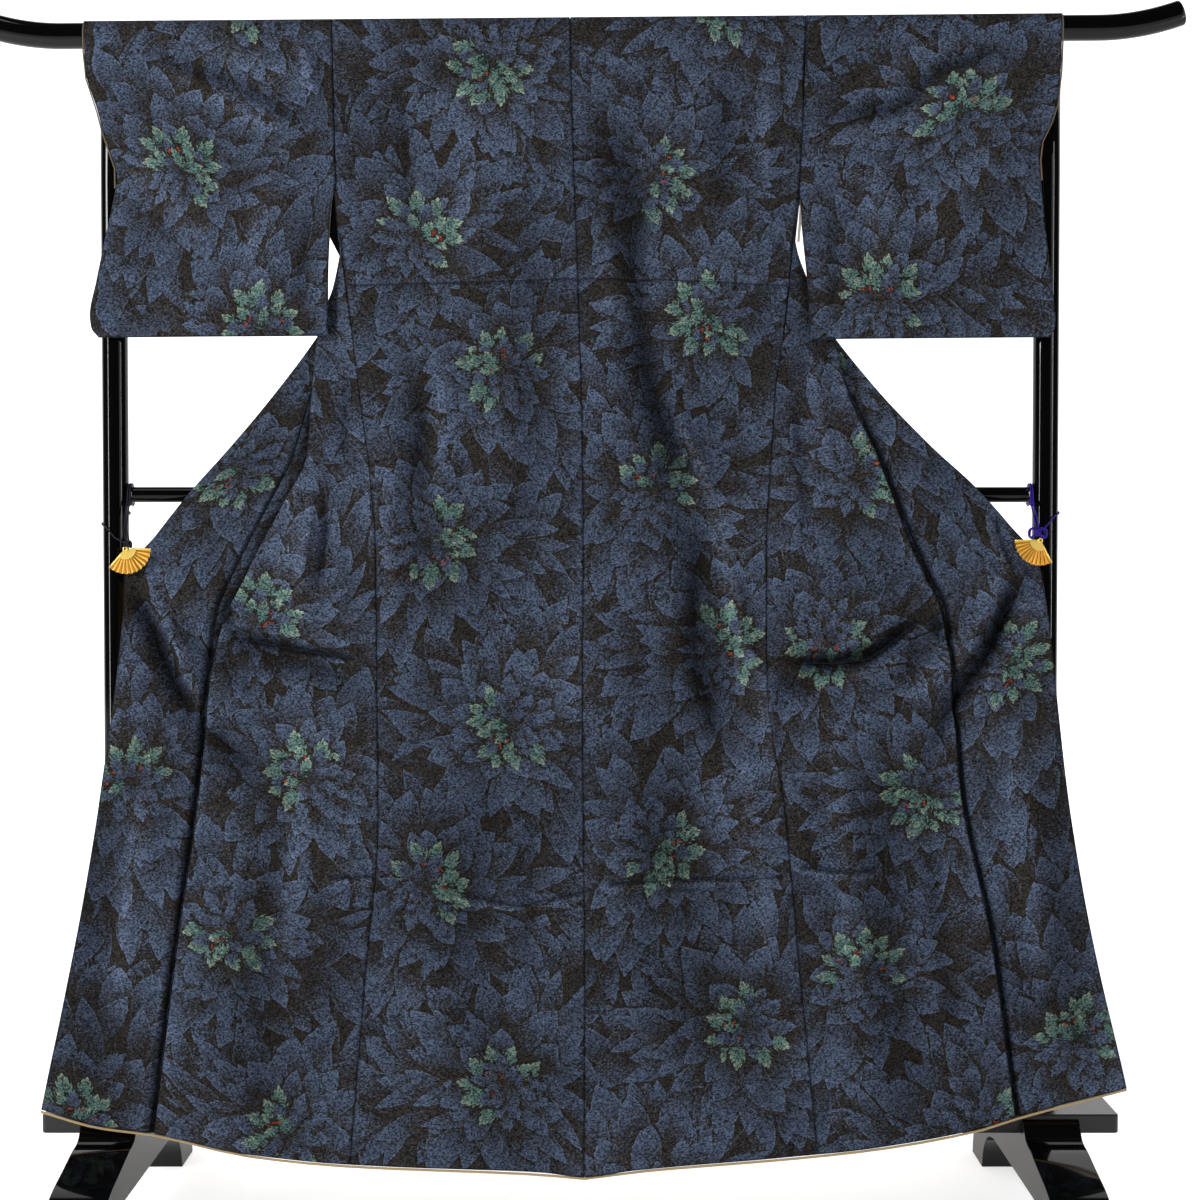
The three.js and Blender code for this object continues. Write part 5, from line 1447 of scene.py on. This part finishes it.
# Each bow's middle, x and z, and half its width and height.
KNOTS = {"left": (-590, 903.2, 6.0, 4.5), "right": (597, 917.7, 13.5, 7.5)}


LOOP_RADIUS = 1.25
STRAND_RADIUS = 1.0
AROUND_BAR = 14.4     # how far the strands' middle lies from the crossbar's
AROUND_POST = 18.4


def cord(name, points, radii, material, nodes=()):
    tube(name, points, radii, material, 10, nodes, slot="cord")


def build_knot(side, material):
    """A bow tied in the cord: its loops, the turns that hold them and two short free ends."""
    x, z, wide, high = KNOTS[side]
    once = np.linspace(0, 2 * math.pi, 41)
    second = [(x + 0.72 * wide * math.sin(t + 0.4), FAN_Y + 1.6 - 1.4 * math.cos(t),
               z + (high - 0.6) * math.sin(2 * t + 1.1)) for t in once]
    cord(f"knot_{side}_loops_2", second, 1.15, material)
    loops = [(x + (wide - 1.4) * math.sin(t), FAN_Y - 1.2 + 1.6 * math.cos(t),
              z + (high - 1.6) * math.sin(2 * t)) for t in once]
    cord(f"knot_{side}_loops", loops, LOOP_RADIUS, material, [f"knot_{side}"])
    turns = [(x + 0.3 * wide * math.cos(3 * t), FAN_Y + 3.2 * math.sin(3 * t),
              z + high * (t / math.pi - 1) * 0.62) for t in np.linspace(0, 2 * math.pi, 61)]
    cord(f"knot_{side}_turns", turns, LOOP_RADIUS, material)
    for k, sign in enumerate((-1, 1)):
        tail = [(x + sign * wide * u * (1 - 0.25 * u), FAN_Y - 2.5 - 1.5 * u, z - high * (0.2 + 0.75 * u * u))
                for u in np.linspace(0, 0.95, 7)]
        cord(f"knot_{side}_end_{k + 1}", tail, [1.1] * 6 + [1.5], material)


def build_tie(side, material):
    """Two strands from the knot up to the crossbar and round it, and one round the post."""
    sign = -1 if side == "left" else 1
    x, z, wide, high = KNOTS[side]
    start, bar_x = z + 0.7 * high, sign * 596.6
    for k, shift in enumerate((-1.7, 1.5)):
        path = [(x + shift, FAN_Y + 1, start), (mix(x, bar_x, 0.5) + 1.3 * shift, FAN_Y + 5, start + 8),
                (bar_x + shift, -34 - 2 * k, start + 18), (bar_x + shift, -22, 951),
                (bar_x + shift, -16.5, 960)]
        path += [(bar_x + shift * (1 - 0.3 * math.sin(t)), -AROUND_BAR * math.cos(t),
                  BAR_Z + AROUND_BAR * math.sin(t)) for t in np.linspace(-0.25, 2 * math.pi - 0.4, 25)]
        cord(f"tie_{side}_strand_{k + 1}", path, STRAND_RADIUS, material, [] if k else [f"tie_{side}"])
    rise = [(x + sign * 0.6 * wide, FAN_Y + 2, z + 0.3 * high), (sign * 609, FAN_Y + 10, z + 8),
            (sign * 618, -27, z + 15)]
    rise += [(sign * (POST_X + AROUND_POST * math.cos(t)), AROUND_POST * math.sin(t),
              z + 24 + 4.5 * (t + 0.9)) for t in np.linspace(-0.95, 3.3, 15)]
    cord(f"tie_{side}_round_post", rise, STRAND_RADIUS, material)


CORDS = {"left": DARK_CORD, "right": VIOLET_CORD}
for side in FANS:
    build_fan(side)
for side, material in CORDS.items():
    build_knot(side, material)
for side, material in CORDS.items():
    build_tie(side, material)


# ------------------------------------------------------------------ solids that stay, in better materials
STAYING = {"hem_piping": PIPING, "cuff_piping_left": CUFF_PIPING, "cuff_piping_right": CUFF_PIPING,
           "clip_left": GOLD, "clip_right": GOLD}
for node, material in STAYING.items():
    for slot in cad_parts[node].material_slots:
        slot.material = material


# ------------------------------------------------------------------ camera, floor and light
def aim(obj, place, target):
    obj.location = [c * MM for c in place]
    direction = Vector([(b - a) * MM for a, b in zip(place, target)])
    obj.rotation_euler = direction.to_track_quat("-Z", "Y").to_euler()


SENSOR = 36
FRAME_PIXELS = 1200
FOCAL_PIXELS = 2030
CAMERA_PLACE = (25.9, -2699.0, 904.4)
CAMERA_PITCH = math.radians(1.6)
camera = link(bpy.data.objects.new("camera", bpy.data.cameras.new("camera")))
camera.data.sensor_width = SENSOR
camera.data.lens = FOCAL_PIXELS * SENSOR / FRAME_PIXELS
camera.data.dof.use_dof = False
camera.location = [c * MM for c in CAMERA_PLACE]
camera.rotation_euler = (math.pi / 2 - CAMERA_PITCH, 0, 0)
bpy.context.scene.camera = camera


def glowing(name, strength, albedo):
    """A matt paper or paint that gives off a little white light of its own."""
    g = Graph(name)
    g.set(Base_Color=rgb(albedo, albedo, albedo), Roughness=0.9, Specular_IOR_Level=0.1,
          Emission_Color=(1, 1, 1, 1), Emission_Strength=strength)
    return g.material


STAGE_HALF, STAGE_NEAR, STAGE_FAR, STAGE_TOP = 9000, -6000, 4000, 7000
floor = mesh_object("floor", [(-STAGE_HALF, STAGE_NEAR, 0), (STAGE_HALF, STAGE_NEAR, 0),
                              (STAGE_HALF, STAGE_FAR, 0), (-STAGE_HALF, STAGE_FAR, 0)],
                    [(0, 1, 2, 3)], glowing("floor_paint", 0.62, 235))
backdrop = mesh_object("backdrop", [(-STAGE_HALF, STAGE_FAR, 0), (STAGE_HALF, STAGE_FAR, 0),
                                    (STAGE_HALF, STAGE_FAR, STAGE_TOP), (-STAGE_HALF, STAGE_FAR, STAGE_TOP)],
                       [(0, 1, 2, 3)], glowing("backdrop_paper", 1.05, 200))


def softbox(name, place, target, width, height, power):
    light = bpy.data.lights.new(name, "AREA")
    light.shape = "RECTANGLE"
    light.size, light.size_y = width, height
    light.energy = power
    aim(link(bpy.data.objects.new(name, light)), place, target)


softbox("key", (-3000, -1700, 2300), (0, 0, 900), 0.9, 1.6, 78)
softbox("fill", (2700, -2500, 1700), (0, 0, 850), 0.9, 1.8, 9)
softbox("top", (-200, -700, 3500), (0, 0, 900), 1.6, 0.7, 12)
softbox("strip_left", (-2500, -1500, 1300), (-300, 0, 1300), 0.11, 2.8, 44)
softbox("strip_right", (2500, -1500, 1300), (300, 0, 1300), 0.1, 2.8, 26)
world = bpy.data.worlds.new("studio")
world.use_nodes = True
world.node_tree.nodes["Background"].inputs[0].default_value = (0.95, 0.97, 1, 1)
world.node_tree.nodes["Background"].inputs[1].default_value = 0.06
bpy.context.scene.world = world
bpy.context.scene.view_settings.view_transform = "Standard"
